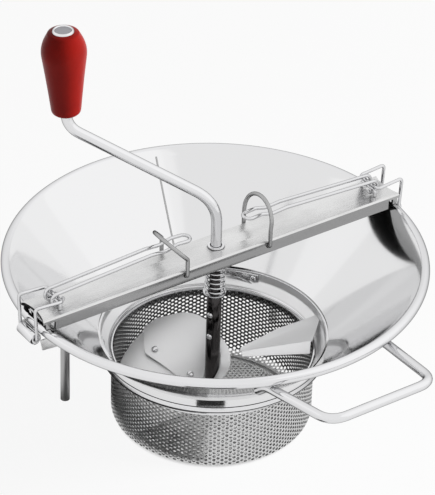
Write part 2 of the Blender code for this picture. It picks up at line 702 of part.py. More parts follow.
def clip_sheet(degrees):
    """A wedge along the neck's wall with a narrow shelf along its rising lower edge."""
    wall = NECK_BORE - STOP_WALL_GAP - CLIP_SHEET / 2
    foot = FLANGE_HEIGHT + SIEVE_SHEET / 2 + GAP + CLIP_SHEET / 2
    shape = bmesh.new()
    rows = []
    for step in range(CLIP_STEPS + 1):
        share = step / CLIP_STEPS
        around = degrees - CLIP_END_DEG + (CLIP_END_DEG + CLIP_RAMP_DEG) * share
        ramp = foot + (CLIP_TOP - CLIP_POINT_WIDTH - foot) * share
        spots = [(wall, CLIP_TOP), (wall, ramp), (wall - CLIP_TOE, ramp)]
        rows.append([shape.verts.new(polar(radius, around, height)) for radius, height in spots])
    for near, far in zip(rows, rows[1:]):
        for column in range(len(near) - 1):
            shape.faces.new((near[column], near[column + 1], far[column + 1], far[column]))
    bmesh.ops.recalc_face_normals(shape, faces=shape.faces)
    mesh = bpy.data.meshes.new("clip_sheet")
    shape.to_mesh(mesh)
    shape.free()
    item = link_object("clip_draft", mesh)
    thicken = item.modifiers.new("Thicken", "SOLIDIFY")
    thicken.thickness = CLIP_SHEET
    thicken.offset = 0
    thicken.use_even_offset = True
    return draft(item)


def build_clips():
    """Three ramped clips over the sieve's flange, each with the rivet that holds it."""
    back = NECK_BORE - STOP_WALL_GAP
    face = back - CLIP_SHEET
    for number in range(CLIP_COUNT):
        degrees = CLIP_FIRST_DEG + number * 360 / CLIP_COUNT
        turn = Matrix.Rotation(math.radians(degrees), 4, "Z")
        hole = RIVET_RADIUS + GAP
        clip = cut(clip_sheet(degrees),
                   peg(hole, polar(face - OVERRUN, degrees, CLIP_RIVET_HEIGHT),
                       polar(back + OVERRUN, degrees, CLIP_RIVET_HEIGHT), SMALL_STEPS))
        finish(clip, f"sieve_clip_{number + 1}", STEEL_BRUSHED)
        rivet = headed_pin(RIVET_HEAD_RADIUS, RIVET_HEAD_DEPTH, RIVET_RADIUS,
                           CLIP_SHEET + GAP)
        tip = Matrix.Rotation(math.radians(-90), 4, "Y")
        rivet.matrix_world = (turn @ Matrix.Translation((face - GAP, 0, CLIP_RIVET_HEIGHT))
                              @ tip)
        bpy.context.view_layer.update()
        finish(rivet, f"clip_rivet_{number + 1}", STEEL_BRUSHED)


def build_stop_plate():
    """The fixed plate in the neck that stops food from going round with the paddle."""
    reach = NECK_BORE - STOP_WALL_GAP
    arc_parts = 2
    arc = [STOP_FAR_DEG - STOP_TAB_DEG * step / arc_parts for step in range(arc_parts + 1)]
    wall = [polar(reach, degrees, 0) for degrees in arc]
    outline = [STOP_TIP] + list(reversed(STOP_BACK)) + wall + [STOP_LIP_END]
    body = plate([(spot.x, spot.y) for spot in outline], STOP_SHEET,
                 Matrix.Translation((0, 0, STOP_HEIGHT)))
    along = (STOP_LIP_END - STOP_TIP).to_3d()
    end = along.length - STOP_SHEET
    along.normalize()
    inward = Vector((-along.y, along.x, 0))
    lean = math.radians(STOP_LIP_LEAN_DEG)
    upward = inward * math.sin(lean) + Vector((0, 0, math.cos(lean)))
    lip = [(STOP_SHEET, STOP_LIP_BITE), (end, STOP_LIP_BITE),
           (end - STOP_LIP_SLANT, -STOP_LIP_DEPTH_END), (STOP_SHEET, -STOP_LIP_DEPTH_TIP)]
    frame = Matrix.Identity(4)
    frame.col[0][:3] = along
    frame.col[1][:3] = upward
    frame.col[2][:3] = along.cross(upward)
    frame.col[3][:3] = (STOP_TIP.x, STOP_TIP.y, STOP_HEIGHT)
    body = cut(body, plate(lip, STOP_SHEET, frame), "UNION")
    tab = wall + [polar(reach - STOP_SHEET, degrees, 0) for degrees in reversed(arc)]
    depth = STOP_TAB_DEPTH + STOP_SHEET / 2
    tab_frame = Matrix.Translation((0, 0, STOP_HEIGHT - depth / 2 + STOP_SHEET / 4))
    body = cut(body, plate([(spot.x, spot.y) for spot in tab], depth, tab_frame), "UNION")
    finish(body, "stop_plate", STEEL_BRUSHED)


def build_rods():
    """The loop handle and the two legs, bent from rod and welded under the bowl."""
    half = []
    for reach, drop in ((HANDLE_FOOT_INNER, 0), (HANDLE_FOOT_OUTER, HANDLE_FOOT_DROP)):
        back = math.sqrt(reach ** 2 - HANDLE_FOOT_SPREAD ** 2)
        height = under_bowl(reach, ROD_RADIUS) - drop
        half.append(Vector((HANDLE_FOOT_SPREAD, -back, height)))
    half.append(Vector((HANDLE_HALF_WIDTH, -HANDLE_REACH, RIM_HEIGHT)))
    other = [Vector((-point.x, point.y, point.z)) for point in reversed(half)]
    route = rounded(half + other, HANDLE_BEND)
    finish(wire(route, ROD_RADIUS, ROD_SIDES), "handle_loop", STEEL_POLISHED)
    for name, degrees in zip(LEG_NAMES, LEG_ANGLES_DEG):
        far = LEG_CIRCLE_RADIUS + LEG_ARM
        corner = polar(LEG_CIRCLE_RADIUS, degrees, under_bowl(LEG_CIRCLE_RADIUS, ROD_RADIUS))
        route = rounded([polar(LEG_CIRCLE_RADIUS, degrees, LEG_FOOT_HEIGHT), corner,
                         polar(far, degrees, under_bowl(far, ROD_RADIUS))], LEG_BEND)
        finish(wire(route, ROD_RADIUS, ROD_SIDES), name, STEEL_BRUSHED)


def build_crossbar():
    """The channel over the bowl: windows and seats at the rim, holes for bush and hooks."""
    wide, deep = BAR_HALF_WIDTH, BAR_DEPTH
    inner = wide - BAR_SHEET
    ease = BAR_EDGE_ROUND
    outline = [(-wide, -deep), (-wide, -ease), (-wide + ease, 0), (wide - ease, 0),
               (wide, -ease), (wide, -deep), (inner, -deep), (inner, -BAR_SHEET),
               (-inner, -BAR_SHEET), (-inner, -deep)]
    frame = Matrix(((0, 0, 1, 0), (1, 0, 0, 0), (0, 1, 0, BAR_TOP), (0, 0, 0, 1)))
    bar = plate(outline, 2 * BAR_HALF_LENGTH, frame)
    far = BAR_HALF_LENGTH + OVERRUN
    out = wide + OVERRUN
    seat_height = BEAD_TOP + GAP
    window_top = BAR_UNDERSIDE - WINDOW_LIP
    window_end = WINDOW_START + WINDOW_LENGTH
    seat_end = window_end + SEAT_LENGTH
    dip_radius = (wide ** 2 + BAR_END_DIP ** 2) / (2 * BAR_END_DIP)
    for sign in SIDES.values():
        spans = ((WINDOW_START, far, BAR_FOOT - OVERRUN, seat_height),
                 (WINDOW_START, window_end, BAR_FOOT - OVERRUN, window_top),
                 (seat_end, far, BAR_FOOT - OVERRUN, window_top))
        for near, end, low, high in spans:
            xs = sorted((sign * near, sign * end))
            bar = cut(bar, block((xs[0], -out, low), (xs[1], out, high)))
        dip = sign * (BAR_HALF_LENGTH - BAR_END_DIP + dip_radius)
        bar = cut(bar, peg(dip_radius, (dip, 0, BAR_FOOT - OVERRUN),
                           (dip, 0, BAR_TOP + OVERRUN), RING_STEPS))
        hook = sign * HOOK_PLACE
        bar = cut(bar, peg(HOOK_WIRE + RUNNING_GAP, (hook, -out, HOOK_PIVOT_HEIGHT),
                           (hook, out, HOOK_PIVOT_HEIGHT), SMALL_STEPS))
    bar = cut(bar, peg(BUSH_BARREL_RADIUS + GAP, (0, 0, BAR_UNDERSIDE - OVERRUN),
                       (0, 0, BAR_TOP + OVERRUN), ROUND_STEPS))
    finish(bar, "crossbar", STEEL_BRUSHED)


def build_bush():
    """The flanged bush in the crossbar that guides the crank's shaft."""
    foot = BAR_TOP - BUSH_LENGTH
    flange = BAR_TOP + GAP
    top = flange + BUSH_FLANGE_DEPTH
    profile = [(SHAFT_BORE, top), (BUSH_FLANGE_RADIUS, top), (BUSH_FLANGE_RADIUS, flange),
               (BUSH_BARREL_RADIUS, flange), (BUSH_BARREL_RADIUS, foot), (SHAFT_BORE, foot)]
    finish(turned(profile, ROUND_STEPS), "shaft_bush", STEEL_CHROME)


def build_hook(side):
    """A wire hoop that swings in the crossbar's flanges and holds the lever down."""
    sign = SIDES[side]
    lean = math.radians(HOOK_LEAN_DEG[side])
    outward = Vector((sign * math.sin(lean), 0, math.cos(lean)))
    pivot = Vector((sign * HOOK_PLACE, 0, HOOK_PIVOT_HEIGHT))
    across = Vector((0, 1, 0))
    knee = pivot + Vector((0, 0, HOOK_LEG))
    arch_centre = knee + outward * HOOK_SHANK
    foot = pivot - across * (HOOK_SPREAD - HOOK_FOOT)
    near = [foot, pivot - across * HOOK_SPREAD, knee - across * HOOK_SPREAD,
            arch_centre - across * HOOK_SPREAD]
    route = rounded(near, HOOK_BEND)
    arch_parts = 8
    for step in range(1, arch_parts):
        angle = math.pi * step / arch_parts
        swing = outward * math.sin(angle) - across * math.cos(angle)
        route.append(arch_centre + swing * HOOK_SPREAD)
    mirrored = [Vector((point.x, -point.y, point.z)) for point in near]
    route += list(reversed(rounded(mirrored, HOOK_BEND)))
    finish(wire(route, HOOK_WIRE, WIRE_SIDES), f"hook_{side}", STEEL_WIRE, pivot)


def build_latch(side):
    """One toggle latch: staple, lever, link and roller, with the keeper under the rim."""
    sign = SIDES[side]

    def spot(reach, across, height):
        return Vector((sign * reach, across, height))

    foot = BAR_TOP + GAP
    staple = rounded([spot(LATCH_PLACE, -STAPLE_SPREAD, foot),
                      spot(LATCH_PLACE, -STAPLE_SPREAD, PIN_HEIGHT),
                      spot(LATCH_PLACE, STAPLE_SPREAD, PIN_HEIGHT),
                      spot(LATCH_PLACE, STAPLE_SPREAD, foot)], STAPLE_BEND)
    finish(wire(staple, STAPLE_WIRE, WIRE_SIDES), f"latch_staple_{side}", STEEL_WIRE)

    arm_height = EYE_HEIGHT + EYE_RADIUS
    knee_height = arm_height + LEVER_RISE
    tip_height = knee_height + LEVER_CREST - LEVER_TIP_DROP
    eye = []
    eye_parts = EYE_STEPS * EYE_TURN_DEG // 360
    for step in range(eye_parts, 0, -1):
        angle = math.radians(90 + EYE_TURN_DEG * step / eye_parts)
        eye.append((LATCH_PLACE - EYE_RADIUS * math.cos(angle),
                    EYE_HEIGHT + EYE_RADIUS * math.sin(angle)))
    arm = [(LATCH_PLACE, arm_height), (LEVER_KNEE, knee_height),
           (LEVER_DIP_PLACE, knee_height - LEVER_DIP),
           (LEVER_CREST_PLACE, knee_height + LEVER_CREST),
           (LEVER_TIP + LEVER_SPREAD, tip_height)]
    near_arm = rounded([spot(reach, -LEVER_SPREAD, height) for reach, height in arm],
                       LEVER_BEND)
    near = [spot(reach, -LEVER_SPREAD, height) for reach, height in eye] + near_arm
    tip = []
    tip_parts = 6
    for step in range(1, tip_parts):
        angle = math.pi * step / tip_parts
        tip.append(spot(LEVER_TIP + LEVER_SPREAD * (1 - math.sin(angle)),
                        -LEVER_SPREAD * math.cos(angle), tip_height))
    far = [Vector((point.x, -point.y, point.z)) for point in reversed(near)]
    pin = spot(LATCH_PLACE, 0, PIN_HEIGHT)
    finish(wire(near + tip + far, LEVER_WIRE, COIL_SIDES), f"latch_lever_{side}",
           STEEL_WIRE, pin)

    corners = [(LATCH_PLACE, LINK_HEIGHT), (LINK_CORNER, LINK_HEIGHT + LINK_CORNER_RISE),
               (ROLLER_PLACE, ROLLER_HEIGHT)]
    loop = [spot(reach, -LINK_SPREAD, height) for reach, height in corners]
    loop += [spot(reach, LINK_SPREAD, height) for reach, height in reversed(corners)]
    middle = spot(LATCH_PLACE, 0, LINK_HEIGHT)
    loop = rounded([middle] + loop + [middle], LINK_BEND)[:-1]
    finish(wire(loop, LINK_WIRE, WIRE_SIDES, cyclic=True), f"latch_link_{side}",
           STEEL_WIRE, middle)

    bore = LINK_WIRE + RUNNING_GAP
    profile = [(bore, ROLLER_HALF_LENGTH), (ROLLER_RADIUS, ROLLER_HALF_LENGTH),
               (ROLLER_RADIUS, -ROLLER_HALF_LENGTH), (bore, -ROLLER_HALF_LENGTH)]
    roller = turned(profile, ROUND_STEPS)
    centre = spot(ROLLER_PLACE, 0, ROLLER_HEIGHT)
    roller.matrix_world = Matrix.Translation(centre) @ Matrix.Rotation(math.pi / 2, 4, "X")
    bpy.context.view_layer.update()
    finish(roller, f"latch_roller_{side}", STEEL_CHROME, centre)
    build_keeper(side)


def build_keeper(side):
    """A folded bracket under the rim whose cheeks guide the latch's roller."""
    sign = SIDES[side]
    outer = KEEPER_INNER_WIDTH + KEEPER_SHEET
    inner_back = KEEPER_BACK + KEEPER_SHEET
    channel = [(KEEPER_BACK, -outer), (KEEPER_FRONT, -outer),
               (KEEPER_FRONT, -KEEPER_INNER_WIDTH), (inner_back, -KEEPER_INNER_WIDTH),
               (inner_back, KEEPER_INNER_WIDTH), (KEEPER_FRONT, KEEPER_INNER_WIDTH),
               (KEEPER_FRONT, outer), (KEEPER_BACK, outer)]
    channel = [(sign * x, y) for x, y in channel]
    back_top = under_bowl(KEEPER_BACK, 0)
    foot = back_top - KEEPER_BACK_HEIGHT
    height = RIM_HEIGHT - foot
    middle = (RIM_HEIGHT + foot) / 2
    keeper = plate(channel, height, Matrix.Translation((0, 0, middle)))
    bead_foot = RIM_HEIGHT - BEAD_RADIUS - GAP
    bead_edge = RIM_RADIUS - BEAD_RADIUS
    beyond = KEEPER_BACK - PROBE
    side_view = [(beyond, foot),
                 (KEEPER_FRONT - KEEPER_TOE_SET, foot + KEEPER_TOE_RISE),
                 (KEEPER_FRONT, bead_foot), (bead_edge, bead_foot),
                 (KEEPER_BACK, back_top), (beyond, under_bowl(beyond, 0))]
    side_view = [(sign * x, z) for x, z in side_view]
    frame = Matrix(((1, 0, 0, 0), (0, 0, -1, 0), (0, 1, 0, 0), (0, 0, 0, 1)))
    trim = plate(side_view, 2 * (outer + OVERRUN), frame)
    finish(cut(keeper, trim, "INTERSECT"), f"latch_keeper_{side}", STEEL_BRUSHED)


def grip_frame():
    """The frame of the grip's own axis, from the crank's upper bend."""
    shoulder = polar(CRANK_REACH, CRANK_DIRECTION_DEG, CRANK_SHOULDER)
    turn = Matrix.Rotation(math.radians(CRANK_DIRECTION_DEG), 4, "Z")
    lean = Matrix.Rotation(math.radians(GRIP_LEAN_DEG), 4, "Y")
    return Matrix.Translation(shoulder) @ turn @ lean


def build_crank():
    """The crank: one rod from the paddle's sleeve, over the bar and up into the grip."""
    frame = grip_frame()
    route = [Vector((0, 0, CRANK_FOOT)), Vector((0, 0, CRANK_ELBOW)), frame.translation,
             frame @ Vector((0, 0, CRANK_TIP))]
    lower = rounded(route[:3], CRANK_BEND_LOW, CRANK_BEND_STEPS)
    upper = rounded([lower[-2]] + route[2:], CRANK_BEND_HIGH, CRANK_BEND_STEPS)
    rod = wire(lower[:-1] + upper[1:], CRANK_RADIUS, ROD_SIDES)
    finish(rod, "crank_rod", STEEL_POLISHED)


def finish_on_grip(item, name, recipe):
    """Finishes a turned piece that stands on the grip's leaning axis."""
    frame = grip_frame()
    item.matrix_world = frame
    bpy.context.view_layer.update()
    finish(item, name, recipe, frame.translation)


def build_grip():
    """The turning grip, its washer below and the flat cap that keeps it on the rod."""
    recess = GRIP_CAP_RADIUS + GAP
    recess_floor = GRIP_TOP - GRIP_CAP_DEPTH
    profile = [(recess, GRIP_TOP), (GRIP_TOP_RADIUS + BURIED, GRIP_TOP)]
    for height_share, bulge_share in zip(GRIP_HEIGHT_SHARES, GRIP_BULGE_SHARES):
        profile.append((GRIP_FOOT_RADIUS + GRIP_BULGE * bulge_share,
                        GRIP_STANDOFF + GRIP_LENGTH * height_share))
    ease = GRIP_FOOT_ROUND * GRIP_FOOT_ROUND_SHARE
    profile += [(GRIP_FOOT_RADIUS, GRIP_STANDOFF + GRIP_FOOT_ROUND),
                (GRIP_FOOT_RADIUS - ease, GRIP_STANDOFF + ease),
                (GRIP_FOOT_RADIUS - GRIP_FOOT_ROUND, GRIP_STANDOFF),
                (SHAFT_BORE, GRIP_STANDOFF), (SHAFT_BORE, recess_floor), (recess, recess_floor)]
    finish_on_grip(turned(profile, ROUND_STEPS), "grip", GRIP_RED)

    foot = recess_floor + GAP
    rod_room = CRANK_TIP + GAP
    cap_profile = []
    for width_share, sink_share in zip(GRIP_CAP_WIDTH_SHARES, GRIP_CAP_SINK_SHARES):
        cap_profile.append((GRIP_CAP_RADIUS * width_share,
                            GRIP_TOP + GRIP_CAP_RISE * (1 - sink_share)))
    cap_profile += [(GRIP_CAP_RADIUS, GRIP_TOP), (GRIP_CAP_RADIUS, foot),
                    (SHAFT_BORE, foot), (SHAFT_BORE, rod_room), (0, rod_room)]
    finish_on_grip(turned(cap_profile, ROUND_STEPS, closed=False), "grip_cap", STEEL_CHROME)

    top = GRIP_STANDOFF - GAP
    ring = [(SHAFT_BORE, top), (GRIP_WASHER_RADIUS, top),
            (GRIP_WASHER_RADIUS, top - GRIP_WASHER_DEPTH), (SHAFT_BORE, top - GRIP_WASHER_DEPTH)]
    finish_on_grip(turned(ring, ROUND_STEPS), "grip_washer", STEEL_CHROME)


def build_hub():
    """The paddle's sleeve on the shaft, its two screws and the thrust washer above it."""
    sleeve = draft(turned([(SHAFT_BORE, SLEEVE_TOP), (SLEEVE_RADIUS, SLEEVE_TOP),
                           (SLEEVE_RADIUS, SLEEVE_FOOT), (SHAFT_BORE, SLEEVE_FOOT)],
                          ROUND_STEPS))
    seat = SLEEVE_RADIUS + GAP
    for name, height in zip(SCREW_NAMES, SCREW_HEIGHTS):
        sleeve = cut(sleeve, peg(SCREW_SHANK_RADIUS + GAP, (0, 0, height),
                                 polar(SLEEVE_RADIUS + OVERRUN, SCREW_DIRECTION_DEG, height),
                                 SMALL_STEPS))
        shank = seat - CRANK_RADIUS - GAP
        screw = headed_pin(SCREW_HEAD_RADIUS, SCREW_HEAD_DEPTH, SCREW_SHANK_RADIUS, shank)
        turn = Matrix.Rotation(math.radians(SCREW_DIRECTION_DEG), 4, "Z")
        tip = Matrix.Rotation(math.radians(90), 4, "Y")
        screw.matrix_world = turn @ Matrix.Translation((seat, 0, height)) @ tip
        bpy.context.view_layer.update()
        finish(screw, name, STEEL_WIRE)
    finish(sleeve, "hub_sleeve", STEEL_BRUSHED)
    ring = [(SHAFT_BORE, THRUST_TOP), (THRUST_RADIUS, THRUST_TOP),
            (THRUST_RADIUS, THRUST_FOOT), (SHAFT_BORE, THRUST_FOOT)]
    finish(turned(ring, ROUND_STEPS), "thrust_washer", STEEL_WIRE)


def build_spring():
    """The pressure spring between the crossbar and the thrust washer."""
    top = BAR_UNDERSIDE - GAP - COIL_WIRE
    foot = THRUST_TOP + GAP + COIL_WIRE
    count = COIL_TURNS * COIL_POINTS
    points = []
    for step in range(count + 1):
        share = step / count
        radius = COIL_TOP_RADIUS + (COIL_FOOT_RADIUS - COIL_TOP_RADIUS) * share ** 3
        points.append(polar(radius, 360 * COIL_TURNS * share, top + (foot - top) * share))
    least = min((points[i] - points[i + COIL_POINTS]).length
                for i in range(count + 1 - COIL_POINTS))
    print(f"pressure_spring: least gap between turns {(least - 2 * COIL_WIRE) / MM:.2f} mm")
    finish(wire(points, COIL_WIRE, COIL_SIDES), "pressure_spring", STEEL_WIRE)


def helical_sheet(inner, outer, start_deg, turn_deg, start_height, rise, step_deg, sheet):
    """A ramp: a radial line screwed about Z and thickened."""
    mesh = bpy.data.meshes.new("ramp_line")
    mid = (inner + outer) / 2
    spots = [polar(radius, start_deg, start_height) for radius in (outer, mid, inner)]
    mesh.from_pydata([tuple(spot) for spot in spots], [(0, 1), (1, 2)], [])
    item = link_object("ramp_draft", mesh)
    screw = item.modifiers.new("Ramp", "SCREW")
    screw.angle = math.radians(turn_deg)
    screw.screw_offset = rise
    screw.steps = round(turn_deg / step_deg)
    screw.render_steps = screw.steps
    screw.use_merge_vertices = True
    screw.merge_threshold = WELD
    thicken = item.modifiers.new("Thicken", "SOLIDIFY")
    thicken.thickness = sheet
    thicken.offset = 0
    thicken.use_even_offset = True
    return item


def paddle_height(degrees):
    return PADDLE_START_HEIGHT - PADDLE_FALL_PER_DEG * (degrees - PADDLE_START_DEG)


def trim_beyond(item, edge, side):
    """Cuts away the part of a flat-lying piece that is beyond a plan edge, towards -X or +X."""
    outline = [(spot.x, spot.y) for spot in edge]
    reach = side * (PADDLE_OUTER + OVERRUN)
    outline += [(reach, edge[-1].y), (reach, edge[0].y)]
    height = PADDLE_START_HEIGHT + OVERRUN
    return cut(item, plate(outline, 2 * height, Matrix.Translation((0, 0, height / 2))))


def build_paddle():
    """The helical wing, the presser riveted under it, and the hub's flight."""
    wing = draft(helical_sheet(PADDLE_INNER, PADDLE_OUTER, PADDLE_START_DEG, PADDLE_DEG,
                               PADDLE_START_HEIGHT, -PADDLE_FALL_PER_DEG * PADDLE_DEG,
                               STEP_DEG, PADDLE_SHEET))
    wing = trim_beyond(wing, PADDLE_LAP_EDGE, -1)
    wing = trim_beyond(wing, PADDLE_NOSE_EDGE, 1)
    presser = draft(helical_sheet(PRESSER_INNER, PRESSER_OUTER, PRESSER_START_DEG, PRESSER_DEG,
                                  paddle_height(PRESSER_START_DEG) - PRESSER_DROP,
                                  -PADDLE_FALL_PER_DEG * PRESSER_DEG, STEP_DEG,
                                  PADDLE_SHEET))
    fall = PADDLE_FALL_PER_TURN / (2 * math.pi)
    for name, place in zip(PADDLE_RIVET_NAMES, PADDLE_RIVET_PLACES):
        degrees = math.degrees(math.atan2(place.y, place.x))
        centre = polar(place.length, degrees, paddle_height(degrees))
        around = polar(UNIT, degrees + 90, 0)
        normal = (around * fall + Vector((0, 0, place.length))).normalized()
        hole = RIVET_RADIUS + GAP
        grip_length = PRESSER_DROP * normal.z + PADDLE_SHEET + 2 * RIVET_SEAT_GAP
        start = centre - normal * (grip_length + OVERRUN)
        end = centre + normal * (PADDLE_SHEET + OVERRUN)
        wing = cut(wing, peg(hole, start, end, SMALL_STEPS))
        presser = cut(presser, peg(hole, start, end, SMALL_STEPS))
        rivet = headed_pin(RIVET_HEAD_RADIUS, RIVET_HEAD_DEPTH, RIVET_RADIUS, grip_length,
                           RIVET_HEAD_DEPTH)
        rivet.matrix_world = (Matrix.Translation(centre + normal * (PADDLE_SHEET / 2 + RIVET_SEAT_GAP))
                              @ normal.to_track_quat("Z", "Y").to_matrix().to_4x4())
        bpy.context.view_layer.update()
        finish(rivet, name, STEEL_POLISHED)
    finish(wing, "paddle_wing", STEEL_POLISHED)
    finish(presser, "paddle_presser", STEEL_POLISHED)
    flight = helical_sheet(PADDLE_INNER, FLIGHT_RADIUS, FLIGHT_START_DEG, FLIGHT_DEG,
                           FLIGHT_FOOT, FLIGHT_RISE, FLIGHT_STEP_DEG, PADDLE_SHEET)
    finish(flight, "hub_flight", STEEL_POLISHED)


def main():
    build_bowl()
    build_neck()
    build_sieve_wall()
    build_sieve_floor()
    build_sieve_rim()
    build_clips()
    build_stop_plate()
    build_rods()
    build_crossbar()
    build_bush()
    for side in SIDES:
        build_hook(side)
        build_latch(side)
    build_crank()
    build_grip()
    build_hub()
    build_spring()
    build_paddle()


main()
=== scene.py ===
"""The looks of the hand cranked food mill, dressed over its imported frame.

Lengths are in metres, in the frame's own axes: +Z up along the crank's shaft, X along the
crossbar, -Y out through the loop handle.
"""

import json
import math

import bmesh
import bpy
from mathutils import Matrix, Vector

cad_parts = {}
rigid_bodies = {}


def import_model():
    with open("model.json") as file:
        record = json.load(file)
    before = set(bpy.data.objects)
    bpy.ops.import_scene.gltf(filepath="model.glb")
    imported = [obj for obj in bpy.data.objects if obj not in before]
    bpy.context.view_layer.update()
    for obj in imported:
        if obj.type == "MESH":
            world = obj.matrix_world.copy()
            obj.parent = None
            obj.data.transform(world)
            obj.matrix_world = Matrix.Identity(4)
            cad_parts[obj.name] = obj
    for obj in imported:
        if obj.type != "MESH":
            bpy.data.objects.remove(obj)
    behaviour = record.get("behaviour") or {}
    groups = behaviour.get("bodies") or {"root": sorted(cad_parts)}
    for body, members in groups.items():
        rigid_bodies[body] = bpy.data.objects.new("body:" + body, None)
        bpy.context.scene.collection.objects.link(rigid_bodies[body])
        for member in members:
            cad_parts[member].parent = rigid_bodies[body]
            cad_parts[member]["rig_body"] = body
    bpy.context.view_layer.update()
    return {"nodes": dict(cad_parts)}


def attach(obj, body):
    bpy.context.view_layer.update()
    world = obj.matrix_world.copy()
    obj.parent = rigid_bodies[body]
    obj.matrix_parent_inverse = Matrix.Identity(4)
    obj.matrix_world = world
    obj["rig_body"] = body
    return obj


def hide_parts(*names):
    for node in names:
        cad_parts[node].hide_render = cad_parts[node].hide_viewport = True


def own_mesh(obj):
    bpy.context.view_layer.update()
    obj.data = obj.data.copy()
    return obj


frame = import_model()

MM = 0.001
WELD = 0.002 * MM
GAP = 0.3 * MM
SIDES = {"left": -1, "right": 1}

# Counts of facets
BOWL_STEPS = 256
ROUND_STEPS = 64
BEND_STEPS = 10
NECK_BEND_STEPS = 4
ROLL_STEPS = 8
WIRE_SIDES = 6

# Shading and bevels
SHARP_DEG = 35
BEVEL_SEGMENTS = 2
PLATE_BEVEL = 0.25 * MM
BAR_BEVEL = 0.5 * MM
TURNED_BEVEL = 0.2 * MM
NOISE_MIDDLE = (0.3, 0.7)
FAINT_SPECULAR = 0.1

# Camera, fitted to the rim, the neck, the basket and the bar in the photograph
CAMERA_TARGET = Vector((0, 0, 134 * MM))
CAMERA_AZIMUTH_DEG = 35.28
CAMERA_ELEVATION_DEG = 33.95
CAMERA_ROLL_DEG = 1.83
CAMERA_DISTANCE = 2189.6 * MM
CAMERA_SIDE = 1.13 * MM
CAMERA_LIFT = 8.4 * MM
CAMERA_LENS_MM = 220.0
CAMERA_SENSOR_MM = 36
CAMERA_SIGHT = 100

# Bowl and neck
RIM_RADIUS = 151.5 * MM
RIM_HEIGHT = 134 * MM
BEAD_RADIUS = 3.75 * MM
BEAD_START_DEG = 134
BEAD_TURN_DEG = 330
BEAD_PARTS = 28
BOWL_SHEET = 1.2 * MM
BOWL_SAG = 1.5 * MM
BOWL_PARTS = 16
SLOPE_PROBE = 1 * MM
MOUTH_RADIUS = 85.4 * MM
MOUTH_HEIGHT = 70.7 * MM
SPIGOT_LENGTH = 4.5 * MM
NECK_SHEET = 1.2 * MM
NECK_TOP = 70 * MM
NECK_LEDGE_HEIGHT = 57.2 * MM
NECK_LEDGE_RADIUS = 78.4 * MM
NECK_FOOT_HEIGHT = 54.4 * MM
NECK_FOOT_RADIUS = 80.4 * MM
NECK_BEND = 1.2 * MM
NECK_LINES = (63 * MM, 58.6 * MM)
NECK_LINE_WIDTH = 0.6 * MM
NECK_LINE_DEPTH = 0.2 * MM
LINER_RADIUS = 83.1 * MM
LINER_SHOULDER = 63.5 * MM
LINER_FOOT = 59.4 * MM
LINER_BEND = 4 * MM
LINER_SHEET = 0.3 * MM
SEAM_DEG = 73.9
SEAM_SPAN = (88 * MM, 146 * MM)
SEAM_RADIUS = 0.9 * MM
SEAM_SUNK = 0.75

# Sieve basket
SIEVE_RADIUS = 74.5 * MM
SIEVE_SHEET = 0.9 * MM
SIEVE_TOP = 57 * MM
SIEVE_CORNER = 6 * MM
SIEVE_FLOOR_HEIGHT = 0.5 * MM
SIEVE_LIP_RADIUS = 63 * MM
SIEVE_COLUMNS = 160
SIEVE_CLIPS = 3
SIEVE_BAND_RADIUS = 75.8 * MM
SIEVE_BAND_FOOT = 50 * MM
SIEVE_FLANGE_REACH = 5.6 * MM
SIEVE_FLANGE_HEIGHT = 58.6 * MM
SIEVE_FLANGE_ROLL = 2.4 * MM
HOLE_PITCH = 3.4 * MM
HOLE_RADIUS = 1.22 * MM
HOLE_SIDES = 12
HOLE_COLUMN = HOLE_PITCH * math.sqrt(3) / 2
HOLES_TOP = 55.9 * MM
FLOOR_HOLES_RADIUS = 62.5 * MM
FLOOR_SOLID_RADIUS = 7 * MM

# Rods
ROD_RADIUS = 3.5 * MM
HANDLE_HALF_WIDTH = 43.6 * MM
HANDLE_REACH = 202.3 * MM
HANDLE_BEND = 15 * MM
HANDLE_FOOT_SPREAD = 50 * MM
HANDLE_FOOT_OUTER = 145.5 * MM
HANDLE_FOOT_INNER = 136.5 * MM
HANDLE_FOOT_DROP = 0.7 * MM
LEG_DIRECTION_DEG = {"left": 150, "right": 30}
LEG_CIRCLE_RADIUS = 109 * MM
LEG_FOOT_HEIGHT = 11.3 * MM
LEG_ARM = 22 * MM
LEG_BEND = 8 * MM
CRANK_RADIUS = 4 * MM
CRANK_DIRECTION_DEG = 144.7
CRANK_FOOT = 14 * MM
CRANK_ELBOW = 183.3 * MM
CRANK_REACH = 107.6 * MM
CRANK_SHOULDER = 242.5 * MM
CRANK_TIP = 74.8 * MM
CRANK_BEND_LOW = 31 * MM
CRANK_BEND_HIGH = 18 * MM

# Crossbar and what stands on it
BAR_TOP = 145.6 * MM
BAR_HALF_WIDTH = 15 * MM
BAR_UNDERSIDE = 143.6 * MM
HOOK_PLACE = 36 * MM
HOOK_PIVOT_HEIGHT = 141.4 * MM
HOOK_WIRE = 1.5 * MM
HOOK_SPREAD = BAR_HALF_WIDTH + GAP + HOOK_WIRE
HOOK_LEG = 14.6 * MM
HOOK_SHANK = 2.4 * MM
HOOK_FOOT = 5.6 * MM
HOOK_LEAN_DEG = {"left": 42, "right": 8}
HOOK_BEND = 2 * MM
HOOK_STEPS = 32
LATCH_PLACE = 137 * MM
LEVER_WIRE = 1.3 * MM
LEVER_SPREAD = 4.5 * MM
EYE_HEIGHT = 152 * MM
EYE_RADIUS = 4.6 * MM
EYE_STEPS = 27
EYE_TURN_DEG = 270
LEVER_TIP = 24 * MM
LEVER_TIP_STEPS = 16
LEVER_RISE = 4.4 * MM
LEVER_KNEE = 59 * MM
LEVER_DIP_PLACE = 46 * MM
LEVER_DIP = 0.9 * MM
LEVER_CREST_PLACE = 37 * MM
LEVER_CREST = 1.6 * MM
LEVER_TIP_DROP = 0.6 * MM
LEVER_BEND = 6 * MM
STAPLE_SPREAD = 8 * MM
STAPLE_WIRE = 1.3 * MM
STAPLE_BEND = 2 * MM
